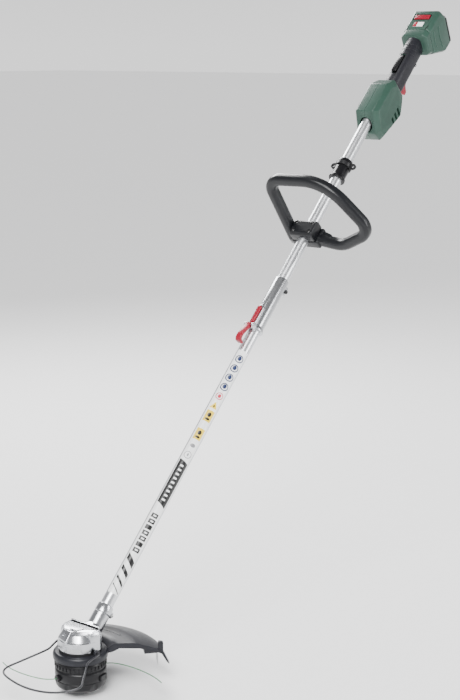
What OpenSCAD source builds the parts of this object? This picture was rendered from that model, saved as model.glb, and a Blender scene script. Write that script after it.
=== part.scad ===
// Cordless string trimmer with a split straight shaft, a motor head, a loop handle
// and a battery rear handle. Z is the spin axis of the spool, z = 0 is the lowest
// point of the bump knob, and the shaft rises from the head towards +X and +Z.

/* [Shaft] */
// Outside diameter of both shaft tubes
tube_d = 25.4; // [25:0.1:25.8]
// Wall of both shaft tubes
tube_wall = 1.6; // [1.4:0.1:2]
// Angle of the shaft above the ground
shaft_angle = 45; // [44:0.5:46]
// Height where the shaft axis meets the spin axis
shaft_base_z = 74; // [73:0.5:75]
// Place of the coupling mouth along the shaft
coupling_s = 757; // [740:1:770]
// Place of the loop handle along the shaft
loop_s = 1020; // [1000:1:1030]
// Place of the strap collar along the shaft
collar_s = 1174; // [1165:1:1190]

/* [Head] */
// Radius of the motor housing
motor_r = 41; // [40.6:0.2:42]
// Height where the silver housing starts
housing_z = 88; // [87.5:0.5:89]
// Radius of the rim under the housing
rim_r = 52; // [51:0.5:53]
// Outer radius of the guard roof
guard_r = 155; // [150:1:158]
// Half of the angle that the guard covers
guard_half_angle = 45; // [43:0.5:47]
// Radius of the spool drum
spool_r = 48.5; // [47.5:0.5:49]
// Height of the two line outlets
outlet_z = 38; // [37.5:0.5:38.5]
// Direction of the first line outlet
outlet_angle = 168; // [167.8:0.1:168.2]

/* [Plant guard] */
// Wire diameter of the folding plant guard
wire_d = 4; // [3:0.5:4]
// Slope of the plant guard from its ears down to its front
wire_slope = 17; // [15:1:19]

/* [Handles] */
// Thickness of the loop handle bar
loop_bar = 25; // [22:1:26]
// Lean of the loop towards the operator
loop_lean = 15; // [10:1:18]
// Width of the rear grip
grip_w = 34; // [32:1:36]
// Height of the rear grip
grip_h = 46; // [44:1:48]
// Wall of the moulded housings
shell_t = 2.5; // [2:0.1:3]

/* [Hidden] */

$fn = 64;
eps = 0.01;

green = [0.16, 0.29, 0.24];
black = [0.12, 0.12, 0.13];
dark = [0.2, 0.2, 0.22];
silver = [0.85, 0.86, 0.87];
steel = [0.6, 0.61, 0.63];
red = [0.75, 0.07, 0.15];
copper = [0.72, 0.4, 0.2];
line_green = [0.55, 0.68, 0.5];

tube_r = tube_d / 2;
tube_in = tube_r - tube_wall;
slip = 0.06;        // radial clearance of parts that slide or turn on each other
gap = 0.4;          // clearance between bodies that only pass each other

// ---- frames ----
// Shaft frame: local z runs up the shaft from the spin axis, local x points to the
// underside of the shaft, local y is the world's.
module on_shaft(s = 0)
    translate([0, 0, shaft_base_z]) rotate([0, 90 - shaft_angle, 0]) translate([0, 0, s]) children();

// A side outline with points [along the shaft, above the shaft axis], given a width.
module side(points, width, inset = 0)
    rotate([0, -90, 0]) rotate([90, 0, 0]) linear_extrude(height = width, center = true)
        offset(delta = -inset) polygon(points);

// A plain side outline with sharp corners that stays exact.
module plate(points, width)
    rotate([0, -90, 0]) rotate([90, 0, 0]) linear_extrude(height = width, center = true)
        polygon(points);

// Places a child at [along, above] with its local z across the shaft, along y.
module across(p) translate([-p[1], 0, p[0]]) rotate([90, 0, 0]) children();

module ring(r_out, r_in, h) difference() {
    cylinder(r = r_out, h = h);
    translate([0, 0, -1]) cylinder(r = r_in, h = h + 2);
}

module stadium(length, width) {
    square([length - width, width], center = true);
    for (e = [-1, 1]) translate([e * (length - width) / 2, 0]) circle(d = width);
}

module screw(head_r, head_h, shank_r, length) {
    difference() {
        cylinder(r = head_r, h = head_h);
        translate([0, 0, head_h * 0.4]) cylinder(r = head_r * 0.45, h = head_h, $fn = 6);
    }
    translate([0, 0, -length]) cylinder(r = shank_r, h = length + eps);
}

// ---- swept tubes ----
function unit(v) = v / norm(v);
function at(p, i) = p[max(0, min(len(p) - 1, i))];
function heading(p, i) = unit(at(p, i + 1) - at(p, i - 1));
function side_of(d) = unit(cross(d, abs(d[2]) > 0.9 ? [1, 0, 0] : [0, 0, 1]));
// A section is a list of [sideways, across] points; its rings stay square to the path.
function round_section(r, n) = [for (k = [0 : n - 1]) r * [cos(360 * k / n), sin(360 * k / n)]];
function ring_at(p, i, section) =
    let (d = heading(p, i), u = side_of(d), v = cross(d, u)) [for (q = section) p[i] + q[0] * u + q[1] * v];
module swept(p, section) {
    m = len(p);
    n = len(section);
    points = [for (i = [0 : m - 1]) each ring_at(p, i, section)];
    walls = [for (i = [0 : m - 2], k = [0 : n - 1])
        [i * n + k, (i + 1) * n + k, (i + 1) * n + (k + 1) % n, i * n + (k + 1) % n]];
    first = [for (k = [0 : n - 1]) k];
    last = [for (k = [n - 1 : -1 : 0]) (m - 1) * n + k];
    polyhedron(points = points, faces = concat([first], walls, [last]));
}
// Smooth curve through the points: each stretch is cut in steps.
function blend_at(p, i, t) =
    let (a = at(p, i - 1), b = at(p, i), c = at(p, i + 1), d = at(p, i + 2))
    0.5 * (2 * b + (c - a) * t + (2 * a - 5 * b + 4 * c - d) * t * t
        + (3 * b - a - 3 * c + d) * t * t * t);
function smooth(p, steps) = concat(
    [for (i = [0 : len(p) - 2], k = [0 : steps - 1]) blend_at(p, i, k / steps)], [p[len(p) - 1]]);

// ================= motor head =================
housing_top = 128;
cavity_r = motor_r - 8;
cavity_top = 116;
neck_r = 16.5;
neck_end = 102;
neck_slit = 84;
tube_start = 62;
bearing_r = 11;
bearing_h = 7;
shaft_r = 4;
base_bottom = 71.3;
base_r = 40;
head_screw_r = motor_r - 4.2;
screw_angles = [45, 135, 225, 315];
// Plan outlines of the flat cheeks, the pillar beside the drum and the flat roof.
cheek_plan = [[-11.3, 39.4], [9.8, 42.4], [15, 38], [15, 20], [-11, 20]];
pillar_plan = [[-42.4, -3], [-33.6, 26.5], [-18, 30], [-18, -6]];
roof_plan = [[-20, -14], [-22, 22], [-6, 38], [15, 39], [17, 20], [17, -20], [15, -39], [-4, -38]];
roof_z = 126;
pillar_top = 112;
comb_x = 13;
rotor_r = 16;

module motor_housing() color(silver) difference() {
    union() {
        rotate_extrude() polygon([[0, housing_z], [motor_r, housing_z], [motor_r, 107],
            [motor_r - 2, 110], [motor_r - 9, 120], [0, 120]]);
        hull() {
            translate([0, 0, 104]) cylinder(r = motor_r - 11, h = 18.6, $fn = 48);
            on_shaft(56) cylinder(r = neck_r - 0.8, h = 6, $fn = 32);
        }
        for (e = [0, 1]) mirror([0, e, 0]) translate([0, 0, housing_z])
            linear_extrude(height = roof_z - 2 - housing_z) polygon(cheek_plan);
        translate([0, 0, housing_z]) linear_extrude(height = pillar_top - housing_z) polygon(pillar_plan);
        translate([0, 0, cavity_top - 12]) linear_extrude(height = roof_z - cavity_top + 12)
            polygon(roof_plan);
        on_shaft(38) cylinder(r = neck_r, h = neck_slit - 38);
        on_shaft(neck_slit - 2) cylinder(r = neck_r - 1, h = neck_end - neck_slit + 2);
        on_shaft(neck_slit + 1.5) translate([neck_r - 4, -7, 0]) cube([12, 14, 14]);
        for (a = screw_angles) rotate(a) translate([head_screw_r, 0, housing_z]) cylinder(r = 4, h = 21);
    }
    difference() {
        translate([0, 0, housing_z - 1]) cylinder(r = cavity_r, h = cavity_top - housing_z + 1);
        translate([0, 0, 108]) ring(bearing_r + 4, bearing_r, 20);
    }
    on_shaft(30) cylinder(r = 10, h = 40);
    on_shaft(tube_start) cylinder(r = tube_r, h = 60);
    on_shaft(neck_slit + 0.7) translate([0, -0.8, 0]) cube([40, 1.6, 30]);
    on_shaft(neck_slit + 8) translate([neck_r + 4, 20, 0]) rotate([90, 0, 0]) cylinder(r = 2.1, h = 40);
    for (a = screw_angles) rotate(a) translate([head_screw_r, 0, housing_z - 1]) {
        cylinder(r = 1.7, h = 40);
        translate([0, 0, 18]) cylinder(r = 3.5, h = 30);
    }
    for (k = [-7 : 7]) translate([comb_x, k * 5, housing_top - 2]) cube([5, 2.6, 8], center = true);
}
module motor_base() color(black) difference() {
    translate([0, 0, base_bottom]) cylinder(r = base_r, h = housing_z - base_bottom);
    translate([0, 0, base_bottom + 3]) difference() {
        cylinder(r = base_r - 5, h = 30);
        translate([0, 0, -1]) cylinder(r = bearing_r + 4, h = 10);
    }
    translate([0, 0, base_bottom + 3]) cylinder(r = bearing_r, h = 30);
    translate([0, 0, base_bottom - 1]) cylinder(r = 7, h = 30);
    for (a = screw_angles) rotate(a) translate([head_screw_r, 0, base_bottom + 5])
        cylinder(r = 1.6, h = 40);
    for (a = guard_screw_angles) rotate(a) translate([guard_screw_r, 0, base_bottom - 1])
        cylinder(r = 1.4, h = 9.4);
}

module head_screws() color(steel) for (a = screw_angles) rotate(a)
    translate([head_screw_r, 0, housing_z + 17]) screw(3.2, 2.6, 1.6, 28);

module neck_screw() color(steel) on_shaft(neck_slit + 8)
    translate([neck_r + 4, 7, 0]) rotate([-90, 0, 0]) screw(3.6, 3.4, 2, 14);

module motor_stator() color(copper) difference() {
    union() {
        translate([0, 0, 86]) cylinder(r = cavity_r - 0.2, h = 18);
        for (k = [0 : 11]) rotate(30 * k) translate([26, 0, 84.5]) cylinder(r = 5, h = 21);
    }
    translate([0, 0, 70]) cylinder(r = rotor_r + gap, h = 50);
    for (k = [0 : 11]) rotate(30 * k + 15) translate([26, 0, 80]) cylinder(r = 1.6, h = 30);
}

module motor_rotor() color(steel) difference() {
    translate([0, 0, 84]) cylinder(r = rotor_r, h = 22);
    translate([0, 0, 70]) cylinder(r = shaft_r, h = 60);
    for (k = [0 : 9]) rotate(36 * k) translate([rotor_r, 0, 80]) cylinder(r = 0.8, h = 30);
}

module motor_shaft() color(steel) translate([0, 0, 38]) cylinder(r = shaft_r, h = 77);

module motor_bearings() color(steel) for (z = [base_bottom + 3, 108.2])
    translate([0, 0, z]) difference() {
        ring(bearing_r, shaft_r + slip, bearing_h);
        for (e = [-1, bearing_h - 1]) translate([0, 0, e]) ring(bearing_r - 2, shaft_r + 2, 2);
    }

// ================= guard =================
rim_z = 68;
rim_top = 83;
skirt_z = 44;
ear_x = -5;
ear_z = 88;
ear_y = 47;
ear_half = 6;
ear_t = 6;
cutter_angle = 40;
cutter_r = 145.2;
cutter_screw_z = 66.9;
cutter_screw_y = [2.5, 9.5];
guard_screw_r = 37.4;
guard_screw_angles = [0, 120, 240];
// Radial outlines, [radius, height]: the roof with its skirt, an edge wall, the block
// that carries the cutter and the raised corner at the near edge.
roof_outline = [[rim_r - 6, 76], [rim_r, 81.5], [65, 89], [107, 88], [118, 83.5], [130, 80],
    [142, 75.5], [guard_r - 3, 71.8], [guard_r + 2, 68], [guard_r + 13, skirt_z],
    [guard_r + 10.5, skirt_z], [guard_r - 1.5, 66], [guard_r - 5, 69], [140, 73], [128, 77.2],
    [116, 80.6], [106, 84.8], [67, 85.5], [rim_r - 4, 71]];
wall_outline = [[rim_r - 4, 71], [rim_r - 4, 77], [66, 87.5], [106, 86.5], [118, 82], [142, 74.5],
    [guard_r - 3, 70.5], [guard_r, 66], [144, 68], [112, 77], [74, 79.5], [60, 73]];
block_section = [[120, 65], [cutter_r, 65], [cutter_r, 72.4], [130, 78], [120, 81]];
corner_section = [[guard_r - 8, 68], [guard_r + 1, 68], [guard_r + 1.4, 87], [guard_r - 7, 88.5]];

module radial(outline, width) rotate([90, 0, 0]) linear_extrude(height = width, center = true)
    polygon(outline);

module guard() color(dark) difference() {
    union() {
        rotate_extrude() polygon([[base_r - 6, rim_z], [rim_r - 2, rim_z], [rim_r, rim_z + 4],
            [rim_r, rim_top - 6], [rim_r - 3, rim_top], [base_r + 0.3, rim_top],
            [base_r + 0.3, rim_z + 3], [base_r - 6, rim_z + 3]]);
        rotate(-guard_half_angle) rotate_extrude(angle = 2 * guard_half_angle) polygon(roof_outline);
        for (e = [-1, 1]) rotate(e * (guard_half_angle - 0.8)) radial(wall_outline, 3);
        rotate(-cutter_angle) translate([0, 2, 0]) radial(block_section, 22);
        rotate(2.4 - guard_half_angle) radial(corner_section, 10);
        for (e = [-1, 1]) translate([ear_x, e * ear_y, 0]) {
            translate([-ear_half, -ear_t / 2, rim_z + 4]) cube([2 * ear_half, ear_t, ear_z - rim_z - 4]);
            translate([0, ear_t / 2, ear_z]) rotate([90, 0, 0]) cylinder(r = ear_half, h = ear_t);
        }
    }
    for (e = [-1, 1]) translate([ear_x, e * ear_y + 10, ear_z]) rotate([90, 0, 0])
        cylinder(r = wire_d / 2 + slip, h = 20);
    for (a = guard_screw_angles) rotate(a) translate([guard_screw_r, 0, rim_z - 1]) {
        cylinder(r = 1.6, h = 5);
        cylinder(r = 2.8, h = 2.6);
    }
    for (y = cutter_screw_y) rotate(-cutter_angle) translate([cutter_r - 14, y, cutter_screw_z])
        rotate([0, 90, 0]) cylinder(r = 1.2, h = 20);
}

module guard_screws() color(steel) for (a = guard_screw_angles) rotate(a)
    translate([guard_screw_r, 0, rim_z + 1.6]) rotate([180, 0, 0]) screw(2.7, 1.4, 1.4, 9);

module line_cutter() color(steel) rotate(-cutter_angle) difference() {
    translate([cutter_r, -9, 40]) cube([1.5, 23, 30]);
    for (y = cutter_screw_y) translate([cutter_r - 3, y, cutter_screw_z]) rotate([0, 90, 0])
        cylinder(r = 1.3, h = 10);
    translate([cutter_r - 2, -22, 28]) rotate([14, 0, 0]) cube([10, 50, 14]);
}

module cutter_screws() color(steel) rotate(-cutter_angle) for (y = cutter_screw_y)
    translate([cutter_r + 1.6, y, cutter_screw_z]) rotate([0, 90, 0])
        screw(2.4, 1.5, 1.1, 12);

// The wire runs from a pin in each ear, out along the arm and round the front:
// [out from the ears, across].
wire_route = [[0, 44], [0, 50.4], [0, 51.4], [1.8, 53.2], [8, 53.4], [26, 51.5], [34, 53.5], [50, 61],
    [78, 75.5], [98, 86], [108, 88.5], [116, 86], [122, 78], [127, 62], [131, 40], [133, 18], [132, -8],
    [127, -34], [119, -55], [108, -72], [98, -82], [90, -86.5], [83, -85], [74, -79], [52, -65],
    [34, -53.5], [26, -51.5], [8, -53.4], [1.8, -53.2], [0, -51.4],
    [0, -50.4], [0, -44]];
wire_path = [for (q = wire_route) [-q[0], q[1], 0]];

module plant_guard() color(dark) translate([ear_x, 0, ear_z]) rotate([0, -wire_slope, 0])
    swept(smooth(wire_path, 3), round_section(wire_d / 2, 16));

// ================= spool =================
spool_top = 66.4;
seam_z = 30;
waist_z = 50;
cover_z = 7;
reel_hub = 20;
knob_r = 21;
knob_travel = 5.5;
ribs = 36;
latch_turn = 112;
latch_w = 18;

module spool_drum() color(black) difference() {
    union() {
        rotate_extrude() polygon([[0, seam_z + 0.1], [spool_r, seam_z + 0.1], [spool_r + 0.3, 38],
            [spool_r, waist_z - 2], [spool_r - 2, waist_z], [spool_r - 2, waist_z + 2],
            [spool_r, waist_z + 4], [spool_r, spool_top - 4], [spool_r - 3, spool_top], [0, spool_top]]);
        for (k = [0 : ribs - 1]) rotate(360 * k / ribs)
            translate([spool_r - 2, -0.9, waist_z + 4.8]) cube([3, 1.8, 6.8]);
    }
    difference() {
        translate([0, 0, seam_z - 1]) cylinder(r = spool_r - 4, h = spool_top - seam_z - 2);
        translate([0, 0, 47.2]) cylinder(r = 11, h = 20);
    }
    translate([0, 0, 20]) cylinder(r = shaft_r, h = 50);
    for (k = [0, 1]) rotate(outlet_angle + 180 * k) translate([spool_r - 8, 0, outlet_z])
        rotate([0, 90, 0]) cylinder(r = 5, h = 20);
    for (k = [0, 1]) rotate(outlet_angle + 180 * k + latch_turn)
        translate([spool_r - 6, -latch_w / 2 - 0.2, seam_z - 1]) cube([10, latch_w + 0.4, 12.4]);
}

module spool_cover() color(black) difference() {
    union() {
        rotate_extrude() polygon([[knob_r + gap, cover_z], [27, cover_z], [38, 10], [45, 15],
            [spool_r - 0.5, 20], [spool_r, seam_z - 0.1], [spool_r - 5, seam_z - 0.1],
            [spool_r - 5, 21], [40, 15.5], [30, 11.5], [26, 9.2], [knob_r + gap, 9.2]]);
        for (k = [0, 1]) rotate(outlet_angle + 180 * k + latch_turn)
            translate([spool_r - 4.4, -latch_w / 2, 22]) cube([3.4, latch_w, 19]);
    }
    for (k = [0, 1]) rotate(outlet_angle + 180 * k + latch_turn)
        translate([spool_r - 2.4, -latch_w / 2 + 3, 33]) cube([10, latch_w - 6, 3]);
}

module line_reel() color(dark) difference() {
    union() {
        translate([0, 0, 18.6]) cylinder(r = reel_hub, h = 40.4);
        for (z = [18.6, 37, 57]) translate([0, 0, z]) cylinder(r = 41, h = 2);
    }
    translate([0, 0, 10]) cylinder(r = 12.2, h = 60);
    for (k = [0 : 5]) rotate(60 * k + 20) translate([32, 0, 10]) cylinder(r = 4, h = 60);
}

module wound_line() color(line_green) for (z = [20.8, 39.2]) difference() {
    translate([0, 0, z]) ring(38, reel_hub + 0.2, 15.8);
    for (k = [0 : 6]) translate([0, 0, z + 1 + 2.12 * k]) ring(40, 37, 0.6);
}

spring_r = 10;
spring_turns = 6;
spring_low = 13;
spring_high = 46.4;
module knob_spring() color(steel) swept([for (k = [0 : spring_turns * 20])
    [spring_r * cos(18 * k), spring_r * sin(18 * k),
        spring_low + (spring_high - spring_low) * k / (spring_turns * 20)]], round_section(0.7, 8));

module bump_knob() color(black) difference() {
    union() {
        rotate_extrude() polygon([[0, 0], [14, 0], [19, 1.6], [knob_r - 0.6, 4], [knob_r, 9.6],
            [knob_r + 2.6, 9.6], [knob_r + 2.6, 12], [12, 12], [8, 12], [8, 24], [0, 24]]);
        for (k = [0 : 11]) rotate(30 * k) translate([0, -1, 0.8]) cube([knob_r, 2, 6]);
    }
    for (k = [0 : 11]) rotate(30 * k + 15) translate([knob_r + 1.4, 0, -1]) cylinder(r = 3, h = 8);
}

module line_eyelets() color(steel) for (k = [0, 1]) rotate(outlet_angle + 180 * k)
    translate([spool_r - 4.5, 0, outlet_z]) rotate([0, 90, 0]) rotate_extrude() polygon([
        [1.6, 0], [4.95, 0], [4.95, 5], [6.2, 5], [6.2, 6], [5, 7], [3, 7], [1.6, 5]]);

// Route of one line from its outlet, in the spool's own frame; the other is turned
// half a turn.
line_d = 2;
line_route = [[-43, 9.1, 38], [-48, 10.2, 38], [-54, 12, 38], [-60, 16.4, 37.8], [-65, 23, 37.6],
    [-69, 32, 37.4], [-71.6, 42, 37.2], [-73.4, 54, 37], [-74.4, 67, 36.7], [-74.6, 80, 36.4], [-74,
    93, 36.1], [-72.6, 106, 35.8], [-70.2, 119, 35.5], [-67, 131, 35.3], [-63, 142, 35.1], [-60,
    149, 35]];
module cutting_line_a() color(line_green) swept(line_route, round_section(line_d / 2, 8));
module cutting_line_b() color(line_green) rotate(180) swept(line_route, round_section(line_d / 2, 8));

module drive_nut() color(steel) difference() {
    translate([0, 0, 40.4]) cylinder(r = 7.4, h = 6.6, $fn = 6);
    translate([0, 0, 30]) cylinder(r = shaft_r, h = 40);
}

// ================= shaft =================
lower_end = coupling_s + 73;
upper_start = coupling_s + 79;
upper_end = 1380;
cable_start = 50;
cable_end = 1392;
cable_r = 3.5;
button_s = coupling_s + 28;

module lower_tube() color(silver) on_shaft(tube_start) difference() {
    ring(tube_r, tube_in, lower_end - tube_start);
    translate([0, 0, button_s - tube_start]) rotate([0, -90, 0]) cylinder(r = 3.6, h = 20);
}

module motor_cable() color(black) on_shaft(cable_start)
    cylinder(r = cable_r, h = coupling_s + 40 - cable_start);

module power_plug() color(black) on_shaft(coupling_s + 40) {
    difference() {
        cylinder(r = tube_in - 0.1, h = 30);
        translate([-20, -6, -1]) cube([12, 12, 40]);
    }
    for (a = [0, 120, 240]) rotate(a) translate([5, 0, 30 - eps]) cylinder(r = 1.5, h = 14);
}

module power_socket() color(black) on_shaft(upper_start) difference() {
    cylinder(r = tube_in - 0.1, h = 32);
    for (a = [0, 120, 240]) rotate(a) translate([5, 0, -1]) cylinder(r = 1.9, h = 14);
}

module handle_cable() color(black) on_shaft(upper_start + 32)
    cylinder(r = cable_r, h = cable_end - upper_start - 32);

module upper_tube() color(silver) on_shaft(upper_start) ring(tube_r, tube_in, upper_end - upper_start);

// ================= coupling =================
sleeve_r = 15.6;
sleeve_len = 136;
button_base = 20;
button_len = 44;
button_w = 9.6;
lever_p = [coupling_s - 1, 25];

module coupling_sleeve() color(silver) on_shaft(coupling_s) difference() {
    union() {
        rotate_extrude() polygon([[tube_r, 0], [sleeve_r + 2.6, 0], [sleeve_r + 2.6, 3],
            [sleeve_r, 9], [sleeve_r, sleeve_len - 2], [sleeve_r - 2, sleeve_len], [tube_r, sleeve_len]]);
        translate([-button_base, 0, 29]) rotate([0, 90, 0]) linear_extrude(height = 6)
            stadium(button_len + 9, button_w + 8);
        translate([sleeve_r - 4, -8, sleeve_len - 30]) cube([12, 16, 26]);
        for (e = [-1, 1]) translate([-30, e * 9 - 2, -7]) cube([18, 4, 15]);
    }
    translate([0, 0, -10]) cylinder(r = tube_r + slip, h = upper_start - coupling_s + 10);
    translate([0, 0, 70]) cylinder(r = tube_r, h = 90);
    translate([-button_base - 2, 0, 29]) rotate([0, 90, 0]) linear_extrude(height = 6)
        stadium(button_len + 2 * gap, button_w + 2 * gap);
    translate([-11, 0, 28]) rotate([0, -90, 0]) cylinder(r = 3.4, h = 12);
    translate([0, -0.8, sleeve_len - 40]) cube([40, 1.6, 60]);
    translate([sleeve_r + 3.5, 20, sleeve_len - 17]) rotate([90, 0, 0]) cylinder(r = 2.6, h = 40);
    translate([-25, 20, -1]) rotate([90, 0, 0]) cylinder(r = 2, h = 40);
}

module coupling_button() color(red) on_shaft(coupling_s) {
    translate([-button_base - 4, 0, 29]) rotate([0, 90, 0]) linear_extrude(height = 4.5)
        stadium(button_len, button_w);
    for (k = [-5 : 5]) translate([-button_base - 4.5, -button_w / 2 + 1, 29 + 3.4 * k])
        cube([1, button_w - 2, 1.5]);
    translate([-15.6, 0, 28]) rotate([0, -90, 0]) cylinder(r = 2.9, h = 6);
}

module button_spring() color(steel) for (k = [-1, 1]) on_shaft(coupling_s + 29 + 14 * k)
    translate([-16.45, 0, 0]) rotate([0, 90, 0]) ring(3.2, 2.2, 0.4);

module coupling_lever() color(red) on_shaft() difference() {
    union() {
        across(lever_p) cylinder(r = 5, h = 12, center = true);
        plate([for (q = [[0, 5], [-5, 6], [-28, 13], [-41, 13], [-47, 8], [-46, -4], [-42, -4],
            [-40, 5], [-30, 6.5], [-6, -1.5], [0, -3]]) lever_p + q], 12);
    }
    across(lever_p) translate([0, 0, -10]) cylinder(r = 2 + slip, h = 20);
}

module lever_pin() color(steel) on_shaft() across(lever_p) translate([0, 0, -11.5])
    cylinder(r = 2, h = 23);

module coupling_screw() color(black) on_shaft(coupling_s + sleeve_len - 17)
    translate([sleeve_r + 3.5, -8, 0]) rotate([90, 0, 0]) screw(4.4, 4.6, 2.5, 19);

module coupling_nut() color(steel) on_shaft(coupling_s + sleeve_len - 17)
    translate([sleeve_r + 3.5, 8, 0]) rotate([-90, 0, 0]) difference() {
        cylinder(r = 4.6, h = 2.8, $fn = 6);
        translate([0, 0, -1]) cylinder(r = 2.5, h = 6);
    }

// ================= loop handle =================
// The bar follows straight runs with round corners: [across, up, corner radius].
loop_path = [[37, -10, 0], [56, 139, 30], [-93, 141, 105], [-172, 22, 30], [-88, -22, 55], [-26, -12, 0]];
clamp_len = 40;
clamp_left = 27;
clamp_right = -30;
clamp_up = 26;
screw_y = [19.5, -21.5];

function corner(i) = [loop_path[i][0], loop_path[i][1], 0];
function turn(i) =
    let (a = unit(corner(i) - corner(i - 1)), b = unit(corner(i + 1) - corner(i)))
    atan2(cross(a, b)[2], a * b);
// Points of one round corner, every 10 degrees or finer.
function corner_arc(i) =
    let (t = turn(i), s = sign(t), r = loop_path[i][2], d = unit(corner(i) - corner(i - 1)),
        side = s * [-d[1], d[0], 0], centre = corner(i) - d * r * tan(abs(t) / 2) + side * r,
        n = ceil(abs(t) / 10))
    [for (k = [0 : n]) centre + r * (sin(abs(t) * k / n) * d - cos(t * k / n) * side)];
loop_points = concat([corner(0)], [for (i = [1 : len(loop_path) - 2]) each corner_arc(i)],
    [corner(len(loop_path) - 1)]);
bar_r = 9;
bar_section = [for (q = [0 : 3], k = [0 : 4]) let (a = 90 * q + 22.5 * k, c = loop_bar / 2 - bar_r)
    [bar_r * cos(a) + (q == 0 || q == 3 ? c : -c), bar_r * sin(a) + (q < 2 ? c : -c)]];

// Local x of the flat drawing lies along y, local y leans up off the shaft.
module in_loop_plane() on_shaft(loop_s) rotate([0, loop_lean, 0]) rotate([0, 0, 90]) children();

module loop_handle() color(dark) difference() {
    union() {
        in_loop_plane() swept(loop_points, bar_section);
        on_shaft(loop_s - clamp_len / 2) translate([1, clamp_right - 6, 0])
            cube([22, clamp_left - clamp_right + 12, clamp_len]);
    }
    on_shaft(loop_s - 40) cylinder(r = tube_r + 0.1, h = 80);
    on_shaft(loop_s - 40) translate([-40 + 0.9, clamp_right - 0.4, 0])
        cube([40, clamp_left - clamp_right + 0.8, 80]);
    for (y = screw_y, z = [-11, 11]) on_shaft(loop_s + z) translate([0, y, 0]) rotate([0, 90, 0])
        cylinder(r = 2.1, h = 18);
}

module handle_cap() color(dark) difference() {
    on_shaft(loop_s - clamp_len / 2) translate([-clamp_up, clamp_right, 0])
        difference() {
            cube([clamp_up - 0.5, clamp_left - clamp_right, clamp_len]);
            for (e = [-1, clamp_len + 1]) translate([0, -1, e]) rotate([0, 45, 0])
                translate([-4, 0, -4]) cube([8, 80, 8]);
        }
    on_shaft(loop_s - 40) cylinder(r = tube_r + 0.1, h = 80);
    for (y = screw_y, z = [-11, 11]) on_shaft(loop_s + z) translate([1, y, 0]) rotate([0, -90, 0]) {
        cylinder(r = 2.1, h = 40);
        translate([0, 0, 19]) cylinder(r = 4.2, h = 20);
    }
}

module handle_screws() color(steel) for (y = screw_y, z = [-11, 11])
    on_shaft(loop_s + z) translate([-19, y, 0]) rotate([0, -90, 0]) screw(3.9, 3.6, 2, 32);

// ================= strap collar =================
collar_len = 52;
hanger_z = 34;
eyelet_y = 25;
eyelet_r = 4;

module strap_collar() color(dark) on_shaft(collar_s) difference() {
    rotate_extrude() polygon([[tube_r + 0.1, 0], [18.6, 0], [19, 4], [15.8, 8], [16.4, hanger_z - 0.2],
        [15.2, hanger_z - 0.2], [15.2, collar_len - 8], [18.4, collar_len - 8],
        [17.4, collar_len], [tube_r + 0.1, collar_len]]);
    translate([10, -0.8, -1]) cube([20, 1.6, 80]);
}

module strap_hanger() color(black) on_shaft(collar_s + hanger_z) difference() {
    union() {
        cylinder(r = 19, h = 9.6);
        for (e = [-1, 1]) translate([0, e * eyelet_y, 4.8]) rotate([0, 90, 0])
            cylinder(r = eyelet_r + 3.4, h = 6, center = true);
        translate([-3, -eyelet_y, 1.4]) cube([6, 2 * eyelet_y, 6.8]);
    }
    translate([0, 0, -1]) cylinder(r = 15.3, h = 12);
    for (e = [-1, 1]) translate([-10, e * eyelet_y, 4.8]) rotate([0, 90, 0])
        cylinder(r = eyelet_r, h = 20);
}

// ================= rear housing =================
grip_mid = -20;
grip_start = 1448;
grip_stop = 1612;
trigger_pivot = [1470, -36];
lock_pivot = [1548, -4];
block_outline = [[1330, -42], [1327, -18], [1350, 6], [1353, 29], [1436, 29], [1464, 12],
    [1464, -32], [1446, -46], [1420, -63]];
block_belly = [[1341, -36], [1339, -17], [1359, 2], [1363, 19], [1432, 19], [1452, 8],
    [1452, -28], [1438, -40], [1417, -53]];
block_w = 44;
belly_w = 64;
// The battery frame leans: its local x is along the slide of the pack, its local z
// points away from the foot.
foot_p = [1612, 6];
pack_lean = 19.5;
foot_t = 18;
foot_outline = [[0, 0], [foot_t, 6.2], [foot_t, -57.5], [0, -51]];
foot_side = [[3, -8], [foot_t, -2], [foot_t, -50], [3, -45]];
foot_w = 50;
foot_belly = 70;
// Screw bosses: [along the shaft, above the shaft axis, half length]
boss_points = [[1374, 22, 25], [1426, 22, 25], [1342, -31, 29], [1412, -50, 28],
    [1470, -6, 12], [1556, -34, 12], [1588, -10, 14]];
boss_r = 3.5;
pin_half = 12.4;

// Outline points in the battery frame: [away from the foot, up the slide].
module in_pack() on_shaft() translate([-foot_p[1], 0, foot_p[0]]) rotate([0, pack_lean, 0]) children();
module pack_hull(outline, belly, w_outline, w_belly, inset = 0) hull() {
    side(outline, w_outline - 2 * inset, inset);
    side(belly, w_belly - 2 * inset, inset);
}

module grip_section(inset) {
    w = grip_w - 2 * inset;
    translate([-grip_mid, 0]) stadium(grip_h - 2 * inset, w);
}

module rear_outer(inset = 0) {
    on_shaft() pack_hull(block_outline, block_belly, block_w, belly_w, inset);
    on_shaft(grip_start) linear_extrude(height = grip_stop - grip_start) grip_section(inset);
    in_pack() pack_hull(foot_outline, foot_side, foot_w, foot_belly, inset);
}

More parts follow.
